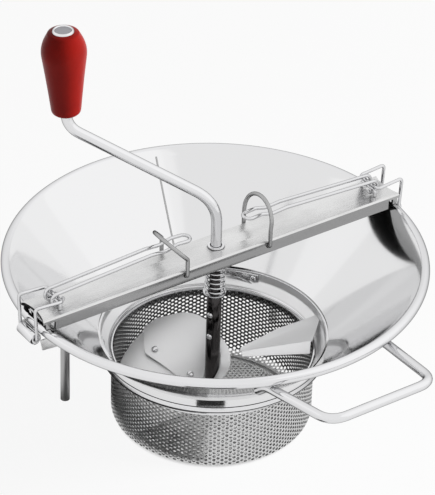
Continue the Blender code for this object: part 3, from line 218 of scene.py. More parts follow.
STAPLE_PIN_HEIGHT = 150.46 * MM
LINK_WIRE = 1.25 * MM
LINK_SPREAD = 11 * MM
LINK_HEIGHT = 153.59 * MM
LINK_CORNER = 159.3 * MM
LINK_CORNER_RISE = 1.9 * MM
LINK_BEND = 3 * MM
ROLLER_PLACE = 158 * MM
ROLLER_HEIGHT = 128.45 * MM

# Pressure spring; its radius grows with a power of the share of the way down
COIL_WIRE = 0.75 * MM
COIL_TOP_RADIUS = 6.2 * MM
COIL_FOOT_RADIUS = 7.4 * MM
COIL_FLARE_POWER = 3
COIL_TOP = 142.65 * MM
COIL_FOOT = 107.15 * MM
COIL_TURNS = 9
COIL_POINTS = 40

# Grip and its cap; heights are along the grip, from the crank's upper bend. The shares are
# (height, bulge) down the grip, and the cap's line is (radius, rise) in millimetres
GRIP_LEAN_DEG = 1.8
GRIP_FOOT = 12.3 * MM
GRIP_TOP = 77.2 * MM
GRIP_FOOT_RADIUS = 10.7 * MM
GRIP_FOOT_CHAMFER = 1.5 * MM
GRIP_BULGE = 5.4 * MM
GRIP_TOP_RADIUS = 8.3 * MM
GRIP_BORE = 4.4 * MM
GRIP_CAP_RADIUS = 7.6 * MM
GRIP_CAP_DEPTH = 4 * MM
GRIP_DISC_RADIUS = 5.7 * MM
GRIP_DISC_RISE = 0.6 * MM
GRIP_STEPS = 96
GRIP_PARTS = 6
GRIP_SHARES = ((0.985, 0.02), (0.955, 0.24), (0.91, 0.52), (0.86, 0.77), (0.8, 0.95),
               (0.75, 1.0), (0.7, 0.96), (0.6, 0.8), (0.48, 0.61), (0.35, 0.42), (0.2, 0.21),
               (0.1, 0.08), (0.045, 0.0), (0.018, -0.08))
GRIP_CAP_LINE = ((5.7, 0.7), (6.0, 1.15), (6.5, 1.35), (7.1, 1.15), (7.5, 0.7), (7.6, 0))

# Paddle: wing, presser and hub flight, each a helical sheet. The wing's two plan edges are
# (x, y) in shares of its outer radius
PADDLE_SHEET = 1.2 * MM
PADDLE_INNER = 6.1 * MM
PADDLE_OUTER = 72 * MM
PADDLE_START_DEG = 60
PADDLE_START_HEIGHT = 49.8 * MM
PADDLE_FALL_PER_DEG = 0.35 * MM
PADDLE_ROWS = 48
PADDLE_COLUMNS = 72
LAP_EDGE = ((-0.05, 0.02), (-0.206, 0.09), (-0.29, 0.387), (-0.36, 0.635), (-0.371, 0.69),
            (-0.355, 0.735), (-0.233, 0.932), (-0.174, 1.038))
NOSE_EDGE = ((0.03, 0.056), (0.285, 0.535), (0.283, 0.664), (0.265, 0.754), (0.211, 0.85),
             (0.163, 0.892), (0.074, 0.94), (-0.06, 1.02))
PRESSER_INNER = 13.6 * MM
PRESSER_START_DEG = 100
PRESSER_END_DEG = 182
PRESSER_DROP = 2.8 * MM
FLIGHT_OUTER = 13.4 * MM
FLIGHT_START_DEG = -125
FLIGHT_END_DEG = 55
FLIGHT_FOOT = 28 * MM
FLIGHT_TOP = 60 * MM

# Cosines that tell which way a face looks
SIDEWAYS = 0.5
LEVEL_EDGE = 0.6
UPWARD = 0.3
FLANGE_FRONT = 0.9

# Stage. The lamps are (name, place, width, height, power), and the cards, painted shade of the
# floor which metal mirrors, are (name, shade, start and end in degrees, inner and outer
# radius)
STAGE_ROUGHNESS = 0.9
FLOOR_RADIUS = 6
FLOOR_STEPS = 96
FLOOR_DROP = 0.5 * MM
FLOOR_SHADE = 0.9
FLOOR_GLOW = 0.9
FLOOR_SHADOW_RADIUS = 73 * MM
FLOOR_SHADOW_BLUR = 6 * MM
WORLD_LEVEL = 0.14
LAMP_TARGET = Vector((0, 0, 0.1))
LAMPS = (
    ("right_small", (1.29, -1.24, 1.5), 2.6, 2.4, 1.05),
    ("right_middle", (1.5, -0.9, 1.5), 3.4, 3.0, 1.7),
    ("right_large", (1.76, -0.47, 1.5), 4.4, 3.6, 2.6),
    ("behind_small", (-1.4, 1.17, 1.3), 0.7, 0.4, 0.08),
    ("behind_large", (-1.4, 1.17, 1.3), 1.3, 0.8, 0.28),
)
KEY_LAMP = ("key", (2.0, -1.4, 1.2), 1.2, 1.2, 80)
CARD_ARC_DEG = 6
SHADE_CARDS = (
    ("floor_left", 0.02, 118, 208, 82 * MM, 138 * MM),
    ("floor_left_2", 0.08, 208, 216, 82 * MM, 138 * MM),
    ("floor_left_3", 0.2, 216, 224, 82 * MM, 138 * MM),
    ("floor_left_4", 0.45, 224, 232, 82 * MM, 138 * MM),
    ("floor_front", 0.01, 224, 245, 155 * MM, 240 * MM),
)


def shader_material(name, colour, metallic, roughness):
    """A new Principled material with a name, and its node tree and shader."""
    finish = bpy.data.materials.new(name)
    finish.use_nodes = True
    tree = finish.node_tree
    shader = tree.nodes["Principled BSDF"]
    shader.inputs["Base Color"].default_value = (*colour, 1)
    shader.inputs["Metallic"].default_value = metallic
    shader.inputs["Roughness"].default_value = roughness
    return finish, tree, shader


def stretched_noise(tree, scale, detail):
    """Noise in the object's own coordinates, stretched by a scale along each axis."""
    place = tree.nodes.new("ShaderNodeTexCoord")
    stretch = tree.nodes.new("ShaderNodeMapping")
    stretch.inputs["Scale"].default_value = scale
    noise = tree.nodes.new("ShaderNodeTexNoise")
    noise.inputs["Scale"].default_value = 1
    noise.inputs["Detail"].default_value = detail
    tree.links.new(place.outputs["Object"], stretch.inputs["Vector"])
    tree.links.new(stretch.outputs["Vector"], noise.inputs["Vector"])
    return noise


def ring_noise(tree, scale, detail):
    """Noise that runs round the Z axis in rings, as marks of spinning and polishing do."""
    place = tree.nodes.new("ShaderNodeTexCoord")
    split = tree.nodes.new("ShaderNodeSeparateXYZ")
    radius = tree.nodes.new("ShaderNodeVectorMath")
    radius.operation = "LENGTH"
    flat = tree.nodes.new("ShaderNodeVectorMath")
    flat.operation = "MULTIPLY"
    flat.inputs[1].default_value = (1, 1, 0)
    join = tree.nodes.new("ShaderNodeCombineXYZ")
    noise = tree.nodes.new("ShaderNodeTexNoise")
    noise.inputs["Scale"].default_value = scale
    noise.inputs["Detail"].default_value = detail
    tree.links.new(place.outputs["Object"], split.inputs[0])
    tree.links.new(place.outputs["Object"], flat.inputs[0])
    tree.links.new(flat.outputs[0], radius.inputs[0])
    tree.links.new(radius.outputs["Value"], join.inputs["X"])
    tree.links.new(split.outputs["Z"], join.inputs["Z"])
    tree.links.new(join.outputs[0], noise.inputs["Vector"])
    return noise


def ranged(tree, source, low, high):
    """Maps a noise's middle range to low and high."""
    span = tree.nodes.new("ShaderNodeMapRange")
    span.inputs["From Min"].default_value = NOISE_MIDDLE[0]
    span.inputs["From Max"].default_value = NOISE_MIDDLE[1]
    span.inputs["To Min"].default_value = low
    span.inputs["To Max"].default_value = high
    tree.links.new(source.outputs[0], span.inputs["Value"])
    return span.outputs["Result"]


def bumped(tree, shader, source, strength, distance):
    """Raises the surface by a noise."""
    bump = tree.nodes.new("ShaderNodeBump")
    bump.inputs["Strength"].default_value = strength
    bump.inputs["Distance"].default_value = distance
    tree.links.new(source.outputs[0], bump.inputs["Height"])
    tree.links.new(bump.outputs["Normal"], shader.inputs["Normal"])


def blended(tree, shader, source, first, second):
    """Lets the colour drift between two with a noise."""
    blend = tree.nodes.new("ShaderNodeMix")
    blend.data_type = "RGBA"
    blend.inputs["A"].default_value = (*first, 1)
    blend.inputs["B"].default_value = (*second, 1)
    tree.links.new(ranged(tree, source, 0, 1), blend.inputs["Factor"])
    tree.links.new(blend.outputs["Result"], shader.inputs["Base Color"])


def cloudy(name, colour, roughness, scale, gloss, detail=3, metallic=1):
    """A material whose roughness drifts through a range, with its node tree, its shader and
    the noise that drives it."""
    finish, tree, shader = shader_material(name, colour, metallic, roughness)
    cloud = stretched_noise(tree, scale, detail)
    tree.links.new(ranged(tree, cloud, *gloss), shader.inputs["Roughness"])
    return finish, tree, shader, cloud


def plain_metal(name, colour, roughness, scale, gloss, detail=3, edge=None):
    """What makes a metal with cloudy gloss. An edge shade lets it mirror less at a grazing
    angle, so that rods and rims show their edges."""
    def make():
        finish, _, shader, _ = cloudy(name, colour, roughness, scale, gloss, detail)
        if edge is not None:
            shader.inputs["Specular Tint"].default_value = (edge, edge, edge, 1)
        return finish
    return make


def spun_steel():
    """Polished sheet with faint rings of spinning and cloudy patches of gloss."""
    finish, tree, shader, _ = cloudy("spun_steel", colour=(0.76, 0.76, 0.765),
                                     roughness=0.09, scale=(22, 22, 22), gloss=(0.07, 0.12))
    bumped(tree, shader, ring_noise(tree, scale=500, detail=2), strength=0.03,
           distance=0.02 * MM)
    return finish


def brushed_steel():
    """Satin sheet brushed along the bar, with cloudy smudges."""
    dull, clear = (0.62, 0.62, 0.62), (0.74, 0.74, 0.74)
    finish, tree, shader, grain = cloudy("brushed_steel", colour=dull, roughness=0.28,
                                         scale=(30, 2200, 2200), gloss=(0.22, 0.36), detail=5)
    smudges = stretched_noise(tree, scale=(26, 60, 60), detail=3)
    blended(tree, shader, smudges, dull, clear)
    bumped(tree, shader, grain, strength=0.1, distance=0.03 * MM)
    return finish


def satin_steel():
    """Matt sheet of the paddle and stop plate, with a fine even grain."""
    finish, tree, shader, grain = cloudy("satin_steel", colour=(0.82, 0.82, 0.825),
                                         roughness=0.5, scale=(1500, 1500, 1500),
                                         gloss=(0.46, 0.56))
    bumped(tree, shader, grain, strength=0.05, distance=0.03 * MM)
    return finish


def painted_shade_black():
    """Near black and dull: painted shade inside the bar's channel and in the grooves round the
    neck.
    """
    finish, _, shader, _ = cloudy("painted_shade_black", colour=(0.02, 0.02, 0.02), roughness=0.7,
                                  scale=(60, 60, 60), gloss=(0.6, 0.8), metallic=0)
    shader.inputs["Specular IOR Level"].default_value = FAINT_SPECULAR
    return finish


def red_grip():
    """Deep red lacquer with a soft shine."""
    finish, tree, shader, cloud = cloudy("red_grip", colour=(0.42, 0.02, 0.011),
                                         roughness=0.34, scale=(60, 60, 60),
                                         gloss=(0.3, 0.4), metallic=0)
    blended(tree, shader, cloud, (0.33, 0.010, 0.007), (0.39, 0.014, 0.009))
    shader.inputs["Specular IOR Level"].default_value = FAINT_SPECULAR
    return finish


# Each kind of finish: what makes its material, and a slot name, which nothing here reads
MAKERS = {
    "spun": (spun_steel, "polished_steel"),
    "bright": (plain_metal("bright_steel", colour=(0.76, 0.76, 0.77), roughness=0.1,
                           scale=(60, 60, 60), gloss=(0.07, 0.13), edge=0.25),
               "polished_steel"),
    "brushed": (brushed_steel, "brushed_steel"),
    # Darker steel: painted shade on the bar's flange faces, and the weld seam's own tone
    "flange": (plain_metal("flange_shade_and_weld_steel", colour=(0.4, 0.4, 0.4), roughness=0.2,
                           scale=(30, 600, 600), gloss=(0.14, 0.26), detail=4),
               "brushed_steel"),
    # Near black: painted shade in the bar's channel and the neck's grooves
    "shade": (painted_shade_black, "brushed_steel"),
    "satin": (satin_steel, "brushed_steel"),
    # Dark steel: painted shade on the crank below the bar, and a painted reflection on the hub
    # sleeve
    "dark": (plain_metal("painted_shade_steel", colour=(0.07, 0.065, 0.065), roughness=0.1,
                         scale=(80, 80, 400), gloss=(0.07, 0.14)),
             "brushed_steel"),
    "liner": (plain_metal("liner_steel", colour=(0.72, 0.72, 0.725), roughness=0.32,
                          scale=(40, 40, 40), gloss=(0.26, 0.4)),
              "polished_steel"),
    "leg": (plain_metal("leg_steel", colour=(0.42, 0.42, 0.42), roughness=0.4,
                        scale=(60, 60, 60), gloss=(0.34, 0.46)),
            "polished_steel"),
    "punched": (plain_metal("punched_steel", colour=(0.62, 0.62, 0.62), roughness=0.3,
                            scale=(120, 120, 120), gloss=(0.26, 0.38)),
                "perforated_steel"),
    # Near black copy of the sieve's steel: painted shade inside the basket
    "punched_painted_shade": (plain_metal("punched_painted_shade", colour=(0.08, 0.08, 0.08),
                                   roughness=0.3, scale=(120, 120, 120), gloss=(0.24, 0.4)),
                       "perforated_steel"),
    # Lighter copy of the sieve's steel: painted light on the basket's floor and foot
    "sieve_floor": (plain_metal("painted_light_floor_steel", colour=(0.95, 0.95, 0.95), roughness=0.7,
                                scale=(120, 120, 120), gloss=(0.64, 0.76)),
                    "perforated_steel"),
    "wire": (plain_metal("drawn_wire", colour=(0.68, 0.68, 0.69), roughness=0.14,
                         scale=(200, 200, 200), gloss=(0.1, 0.2), edge=0.15),
             "wire_steel"),
    "hook": (plain_metal("hook_steel", colour=(0.42, 0.42, 0.42), roughness=0.14,
                         scale=(200, 200, 200), gloss=(0.14, 0.26), edge=0.1),
             "wire_steel"),
    "chrome": (plain_metal("chrome", colour=(0.78, 0.78, 0.79), roughness=0.05,
                           scale=(90, 90, 90), gloss=(0.03, 0.08), detail=2, edge=0.3),
               "bright_steel"),
    "disc": (plain_metal("disc_grey", colour=(0.34, 0.34, 0.36), roughness=0.45,
                         scale=(900, 900, 900), gloss=(0.4, 0.5)),
             "bright_steel"),
    "red": (red_grip, "grip_red"),
}
MATERIALS = {}


def material(kind):
    """The material of a finish, made when it is first asked for."""
    if kind not in MATERIALS:
        MATERIALS[kind] = MAKERS[kind][0]()
    return MATERIALS[kind]


def polar(radius, degrees, height):
    """The point at a radius, an angle about Z and a height."""
    angle = math.radians(degrees)
    return Vector((radius * math.cos(angle), radius * math.sin(angle), height))


def mirrored(points, axis):
    """The points in reverse order, on the other side of the middle along an axis."""
    flip = Vector((1, 1, 1))
    flip[axis] = -1
    return [point * flip for point in reversed(points)]


def link_object(name, data):
    item = bpy.data.objects.new(name, data)
    bpy.context.scene.collection.objects.link(item)
    return item


def meshed(name, shape):
    """An object made of a bmesh."""
    mesh = bpy.data.meshes.new(name)
    shape.to_mesh(mesh)
    shape.free()
    return link_object(name, mesh)


def weld(mesh, face_outward=False):
    """Merges points that lie in one place."""
    shape = bmesh.new()
    shape.from_mesh(mesh)
    bmesh.ops.remove_doubles(shape, verts=shape.verts, dist=WELD)
    if face_outward:
        bmesh.ops.recalc_face_normals(shape, faces=shape.faces)
    shape.to_mesh(mesh)
    shape.free()


def baked(item):
    """The piece as a plain mesh, with its modifiers applied."""
    graph = bpy.context.evaluated_depsgraph_get()
    mesh = bpy.data.meshes.new_from_object(item.evaluated_get(graph))
    item.modifiers.clear()
    old = item.data
    if item.type == "CURVE":
        name, matrix = item.name, item.matrix_world.copy()
        bpy.data.objects.remove(item, do_unlink=True)
        item = link_object(name, mesh)
        item.matrix_world = matrix
    else:
        item.data = mesh
        bpy.data.meshes.remove(old)
    return item


def dress(item, kind, nodes, body=None):
    """Gives a piece its finish and shading, and stands it in for its CAD nodes."""
    item = baked(item)
    mesh = item.data
    weld(mesh, face_outward=True)
    mesh.materials.clear()
    mesh.materials.append(material(kind))
    mesh.shade_smooth()
    mesh.set_sharp_from_angle(angle=math.radians(SHARP_DEG))
    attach(item, body or frame["nodes"][nodes[0]]["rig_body"])
    if nodes:
        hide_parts(*nodes)
    return item


def finish_faces(item, kind, chosen):
    """Gives the chosen faces of a dressed piece a finish of their own."""
    item.data.materials.append(material(kind))
    index = len(item.data.materials) - 1
    for face in item.data.polygons:
        if chosen(face):
            face.material_index = index


def bevel(item, width):
    """Rounds the edges that stay sharp in the shading."""
    edges = item.modifiers.new("Bevel", "BEVEL")
    edges.width = width
    edges.segments = BEVEL_SEGMENTS
    edges.limit_method = "ANGLE"
    edges.angle_limit = math.radians(SHARP_DEG)
    return item


def thicken(item, sheet, even=False):
    """Gives a surface the thickness of its sheet, half to each side."""
    solid = item.modifiers.new("Thicken", "SOLIDIFY")
    solid.thickness = sheet
    solid.offset = 0
    solid.use_even_offset = even
    return item


def turned(name, profile, steps=ROUND_STEPS, closed=True):
    """Turns a profile of (radius, height) points about Z."""
    mesh = bpy.data.meshes.new(name)
    count = len(profile)
    edges = [(i, i + 1) for i in range(count - 1)]
    if closed:
        edges.append((count - 1, 0))
    mesh.from_pydata([(radius, 0, height) for radius, height in profile], edges, [])
    item = link_object(name, mesh)
    screw = item.modifiers.new("Turn", "SCREW")
    screw.steps = steps
    screw.render_steps = steps
    screw.use_merge_vertices = True
    screw.merge_threshold = WELD
    return item


def turned_sheet(name, line, sheet, steps=BOWL_STEPS):
    """Turns an open line of (radius, height) points into a sheet about Z."""
    return thicken(turned(name, line, steps, closed=False), sheet, even=True)


def rounded(points, radius, steps=BEND_STEPS):
    """Replaces each inner corner of a route by a short arc."""
    route = [points[0]]
    for before, corner, after in zip(points, points[1:], points[2:]):
        inward = (before - corner).normalized()
        onward = (after - corner).normalized()
        half = inward.angle(onward) / 2
        reach = min(radius / math.tan(half), (before - corner).length / 2,
                    (after - corner).length / 2)
        start = corner + inward * reach
        end = corner + onward * reach
        for step in range(steps + 1):
            share = step / steps
            route.append(start.lerp(corner, share).lerp(corner.lerp(end, share), share))
    route.append(points[-1])
    return route


def rounded_line(corners, radius, steps):
    """The same for a line of (radius, height) points."""
    route = rounded([Vector((x, 0, z)) for x, z in corners], radius, steps)
    return [(point.x, point.z) for point in route]


def smooth_through(points, parts):
    """Adds points between the given ones, on a Catmull-Rom curve."""
    ends = [points[0] * 2 - points[1]] + points + [points[-1] * 2 - points[-2]]
    route = []
    for a, b, c, d in zip(ends, ends[1:], ends[2:], ends[3:]):
        for step in range(parts):
            t = step / parts
            route.append(0.5 * ((2 * b) + (c - a) * t + (2 * a - 5 * b + 4 * c - d) * t ** 2
                                + (3 * b - a - 3 * c + d) * t ** 3))
    route.append(points[-1])
    return route


def wire(name, points, radius, cyclic=False):
    """A round wire or rod along a route."""
    curve = bpy.data.curves.new(name, "CURVE")
    curve.dimensions = "3D"
    curve.bevel_depth = radius
    curve.bevel_resolution = WIRE_SIDES
    curve.use_fill_caps = not cyclic
    spline = curve.splines.new("POLY")
    spline.points.add(len(points) - 1)
    for slot, point in zip(spline.points, points):
        slot.co = (point.x, point.y, point.z, 1)
    spline.use_cyclic_u = cyclic
    return link_object(name, curve)


def refined(node, kind, width):
    """A copy of a CAD node's shape with its edges rounded."""
    mesh = frame["nodes"][node].data.copy()
    weld(mesh)
    if mesh.attributes.get("custom_normal"):
        mesh.attributes.remove(mesh.attributes["custom_normal"])
    item = link_object(node + "_finish", mesh)
    return dress(bevel(item, width), kind, [node])


def bead_spot(degrees):
    """(radius, height) on the middle of the sheet that is rolled into the rim's bead."""
    angle = math.radians(degrees)
    middle = BEAD_RADIUS - BOWL_SHEET / 2
    return RIM_RADIUS + middle * math.cos(angle), RIM_HEIGHT + middle * math.sin(angle)


def bowl_height(radius):
    """Height of the middle of the bowl's sheet, between its mouth and its rim."""
    top_radius, top_height = bead_spot(BEAD_START_DEG)
    share = (radius - MOUTH_RADIUS) / (top_radius - MOUTH_RADIUS)
    straight = MOUTH_HEIGHT + share * (top_height - MOUTH_HEIGHT)
    return straight - BOWL_SAG * 4 * share * (1 - share)


def under_bowl(radius, half_thickness):
    """Height at which something of that half thickness lies against the underside."""
    rise = bowl_height(radius + SLOPE_PROBE) - bowl_height(radius - SLOPE_PROBE)
    slope = rise / (2 * SLOPE_PROBE)
    stand_off = BOWL_SHEET / 2 + GAP + half_thickness
    return bowl_height(radius) - stand_off * math.sqrt(1 + slope * slope)


def over_bowl(radius):
    """Height of the bowl's upper face."""
    return 2 * bowl_height(radius) - under_bowl(radius, -GAP)


def build_bowl():
    """The bowl with its bead, and the weld seam up its inside."""
    line = [bead_spot(BEAD_START_DEG - BEAD_TURN_DEG * (1 - step / BEAD_PARTS))
            for step in range(BEAD_PARTS + 1)]
    top_radius = line[-1][0]
    for step in range(1, BOWL_PARTS + 1):
        radius = top_radius + (MOUTH_RADIUS - top_radius) * step / BOWL_PARTS
        line.append((radius, bowl_height(radius)))
    line.append((MOUTH_RADIUS, MOUTH_HEIGHT - SPIGOT_LENGTH))
    bowl = dress(turned_sheet("bowl_skin", line, BOWL_SHEET), "spun", ["bowl"])
    finish_faces(bowl, "bright",
                 lambda face: face.center.xy.length > RIM_RADIUS - BEAD_RADIUS)
    seam = []
    near, far = SEAM_SPAN
    for step in range(BOWL_PARTS + 1):
        radius = near + (far - near) * step / BOWL_PARTS
        seam.append(polar(radius, SEAM_DEG, over_bowl(radius) - SEAM_RADIUS * SEAM_SUNK))
    dress(wire("bowl_seam", seam, SEAM_RADIUS), "flange", [], "frame")


def build_neck():
    """The neck ring with the lines round it, its inner cone, and the basket's band."""
    radius = MOUTH_RADIUS - BOWL_SHEET / 2 - GAP - NECK_SHEET / 2
    line = rounded_line([(radius, NECK_TOP), (radius, NECK_LEDGE_HEIGHT),
                         (NECK_LEDGE_RADIUS, NECK_LEDGE_HEIGHT),
                         (NECK_FOOT_RADIUS, NECK_FOOT_HEIGHT)], NECK_BEND, NECK_BEND_STEPS)
    dress(turned_sheet("neck_skin", line, NECK_SHEET), "bright", ["neck_ring"])
    face = radius + NECK_SHEET / 2
    # Thin near black rings at the neck's joints: painted shade in its grooves.
    for number, height in enumerate(NECK_LINES, 1):
        line = [(face, height + NECK_LINE_WIDTH / 2), (face, height - NECK_LINE_WIDTH / 2)]
        dress(turned_sheet(f"neck_line_{number}", line, NECK_LINE_DEPTH), "shade", [], "frame")

    line = rounded_line([(LINER_RADIUS, NECK_TOP), (LINER_RADIUS, LINER_SHOULDER),
                         (SIEVE_BAND_RADIUS + LINER_BEND / 3, LINER_FOOT),
                         (SIEVE_BAND_RADIUS - SIEVE_SHEET / 2, SIEVE_TOP)],
                        LINER_BEND / 2, ROLL_STEPS)
    liner = dress(turned_sheet("neck_liner", line, LINER_SHEET), "liner", [], "frame")
    finish_faces(liner, "satin", lambda face: face.center.z > LINER_SHOULDER)

    line = rounded_line([(SIEVE_BAND_RADIUS + SIEVE_FLANGE_REACH, SIEVE_FLANGE_HEIGHT),
                         (SIEVE_BAND_RADIUS, SIEVE_FLANGE_HEIGHT),
                         (SIEVE_BAND_RADIUS, SIEVE_BAND_FOOT)], SIEVE_FLANGE_ROLL, ROLL_STEPS)
    dress(turned_sheet("sieve_band", line, SIEVE_SHEET), "bright", ["sieve_rim"])


def punched_sheet(name, columns, halves, place, punched, closed):
    """Staggered cells, each with a round hole where punched says so.

    place turns (column, half pitch) into a point, and cells of odd columns start half a
    pitch lower, so that every cell shares six corners with its neighbours.
    """
    shape = bmesh.new()
    corners = {}

    def corner(column, half):
        key = (column % columns if closed else column, half)
        if key not in corners:
            corners[key] = shape.verts.new(place(*key))
        return corners[key]

    for column in range(columns):
        for half in range(column % 2, halves - 1, 2):
            outline = [corner(column + 1, half + 1), corner(column + 1, half + 2),
                       corner(column, half + 2), corner(column, half + 1),
                       corner(column, half), corner(column + 1, half)]
            centre = (column + 0.5, half + 1)
            if not punched(*centre):
                if not closed and not punched(*centre, True):
                    continue
                shape.faces.new(outline)
                continue
            ring = []
            for step in range(HOLE_SIDES):
                angle = 2 * math.pi * step / HOLE_SIDES
                ring.append(shape.verts.new(place(
                    centre[0] + HOLE_RADIUS * math.cos(angle) / HOLE_COLUMN,
                    centre[1] + HOLE_RADIUS * math.sin(angle) / (HOLE_PITCH / 2))))
            parts = HOLE_SIDES // len(outline)
            for side in range(len(outline)):
                first = side * parts
                inner = [ring[(first + step) % HOLE_SIDES] for step in range(parts, -1, -1)]
                shape.faces.new([outline[side], outline[(side + 1) % len(outline)]] + inner)
        if closed and column % 2:
            for half in (0, halves - 1):
                shape.faces.new([corner(column, half), corner(column + 1, half),
                                 corner(column + 1, half + 1), corner(column, half + 1)])
    loose = [vertex for vertex in shape.verts if not vertex.link_faces]
    bmesh.ops.delete(shape, geom=loose, context="VERTS")
    return thicken(meshed(name, shape), SIEVE_SHEET)


def in_basket(face):
    """Whether a face of the wall looks towards the axis, or is a level edge of a hole; these
    faces get a near black steel as painted shade. The holes' upright edges stay bare, since
    they catch the light from outside."""
    outward = face.center.xy.normalized().dot(face.normal.xy)
    inner = outward < -SIDEWAYS or outward < SIDEWAYS and abs(face.normal.z) > LEVEL_EDGE
    return inner and face.center.z > SIEVE_CORNER / 2


def on_foot(face):
    """Whether a face of the wall is the upper face of its turned in foot; these faces get the
    lighter floor steel as painted light.
    """
    return face.center.z < SIEVE_CORNER / 2 and face.normal.z > UPWARD


def build_sieve():
    """The perforated wall, its folded foot and its floor."""
    straight = SIEVE_TOP - SIEVE_CORNER - SIEVE_FLOOR_HEIGHT
    bend = SIEVE_CORNER * math.pi / 2

    def wall_spot(distance):
        """(radius, height) at a distance down the wall and round its foot."""
        if distance < straight:
            return SIEVE_RADIUS, SIEVE_TOP - distance
        if distance < straight + bend:
            angle = (distance - straight) / SIEVE_CORNER
            return (SIEVE_RADIUS - SIEVE_CORNER * (1 - math.cos(angle)),
                    SIEVE_FLOOR_HEIGHT + SIEVE_CORNER * (1 - math.sin(angle)))
        return SIEVE_RADIUS - SIEVE_CORNER - (distance - straight - bend), SIEVE_FLOOR_HEIGHT

    first = SIEVE_TOP - HOLES_TOP
    last = straight + bend + SIEVE_RADIUS - SIEVE_CORNER - SIEVE_LIP_RADIUS
    halves = int((last - first) / (HOLE_PITCH / 2)) // 2 * 2

    def on_wall(column, half):
        radius, height = wall_spot(first + half * HOLE_PITCH / 2)
        return polar(radius, 360 * column / SIEVE_COLUMNS, height)

    wall = punched_sheet("sieve_mesh", SIEVE_COLUMNS, halves, on_wall,
                         lambda column, half: half < halves - 1, True)
    wall = dress(wall, "punched", ["sieve_wall"])
    # Faces that look into the basket: near black steel, painted shade.
    finish_faces(wall, "punched_painted_shade", in_basket)
    # Upper faces of the foot: the lighter floor steel, painted light.
    finish_faces(wall, "sieve_floor", on_foot)
    top = [(SIEVE_RADIUS, SIEVE_TOP), (SIEVE_RADIUS, HOLES_TOP)]
    dress(turned_sheet("sieve_collar", top, SIEVE_SHEET, SIEVE_COLUMNS), "bright", [],
          "frame")

    columns = int(2 * FLOOR_HOLES_RADIUS / HOLE_COLUMN) // 2 * 2 + 2
    rows = int(2 * FLOOR_HOLES_RADIUS / HOLE_PITCH) * 2 + 4

    def on_floor(column, half):
        return Vector(((column - columns / 2) * HOLE_COLUMN,
                       (half - rows / 2) * HOLE_PITCH / 2, SIEVE_FLOOR_HEIGHT))

    def in_floor(column, half, whole=False):
        radius = on_floor(column, half).xy.length
        if whole:
            return radius < FLOOR_HOLES_RADIUS
        return FLOOR_SOLID_RADIUS < radius < FLOOR_HOLES_RADIUS

    # The floor plate and its edge ring take the lighter floor steel: painted light.
    floor = punched_sheet("sieve_base", columns, rows, on_floor, in_floor, False)
    dress(floor, "sieve_floor", ["sieve_floor"])
    edge = [(SIEVE_LIP_RADIUS - GAP, SIEVE_FLOOR_HEIGHT),
            (FLOOR_HOLES_RADIUS - HOLE_PITCH / 3, SIEVE_FLOOR_HEIGHT)]
    dress(turned_sheet("sieve_base_edge", edge, SIEVE_SHEET + 2 * WELD, SIEVE_COLUMNS),
          "sieve_floor", [], "frame")


def build_handle():
    """The loop of rod that runs out from under the bowl."""
    half = []
    for reach, drop in ((HANDLE_FOOT_INNER, 0), (HANDLE_FOOT_OUTER, HANDLE_FOOT_DROP)):
        back = math.sqrt(reach ** 2 - HANDLE_FOOT_SPREAD ** 2)
        half.append(Vector((HANDLE_FOOT_SPREAD, -back, under_bowl(reach, ROD_RADIUS) - drop)))
    half.append(Vector((HANDLE_HALF_WIDTH, -HANDLE_REACH, RIM_HEIGHT)))
    route = rounded(half + mirrored(half, 0), HANDLE_BEND)
    dress(wire("handle_rod", route, ROD_RADIUS), "bright", ["handle_loop"])


def build_leg(side):
    """A rod that runs out along the underside of the bowl and bends down to its foot."""
    degrees = LEG_DIRECTION_DEG[side]
    far = LEG_CIRCLE_RADIUS + LEG_ARM
    corner = polar(LEG_CIRCLE_RADIUS, degrees, under_bowl(LEG_CIRCLE_RADIUS, ROD_RADIUS))
    route = rounded([polar(LEG_CIRCLE_RADIUS, degrees, LEG_FOOT_HEIGHT), corner,
                     polar(far, degrees, under_bowl(far, ROD_RADIUS))], LEG_BEND)
    dress(wire(f"leg_rod_{side}", route, ROD_RADIUS), "leg", [f"leg_{side}"])


def grip_frame():
    """The frame of the grip's own axis, from the crank's upper bend."""
    shoulder = polar(CRANK_REACH, CRANK_DIRECTION_DEG, CRANK_SHOULDER)
    turn = Matrix.Rotation(math.radians(CRANK_DIRECTION_DEG), 4, "Z")
    lean = Matrix.Rotation(math.radians(GRIP_LEAN_DEG), 4, "Y")
    return Matrix.Translation(shoulder) @ turn @ lean


def build_crank():
    """The crank's rod, bright above the bar, with dark steel below it as painted shade."""
    stand = grip_frame()
    route = [Vector((0, 0, CRANK_FOOT)), Vector((0, 0, CRANK_ELBOW)), stand.translation,
             stand @ Vector((0, 0, CRANK_TIP))]
    lower = rounded(route[:3], CRANK_BEND_LOW)
    upper = rounded([lower[-2]] + route[2:], CRANK_BEND_HIGH)
    shaft = [lower[0], Vector((0, 0, BAR_UNDERSIDE))]
    rod = dress(wire("crank_bar", shaft + lower[1:-1] + upper[1:], CRANK_RADIUS), "bright",
                ["crank_rod"])
    # Below the bar's underside the rod is painted shade.
    finish_faces(rod, "dark", lambda face: face.center.z < BAR_UNDERSIDE)


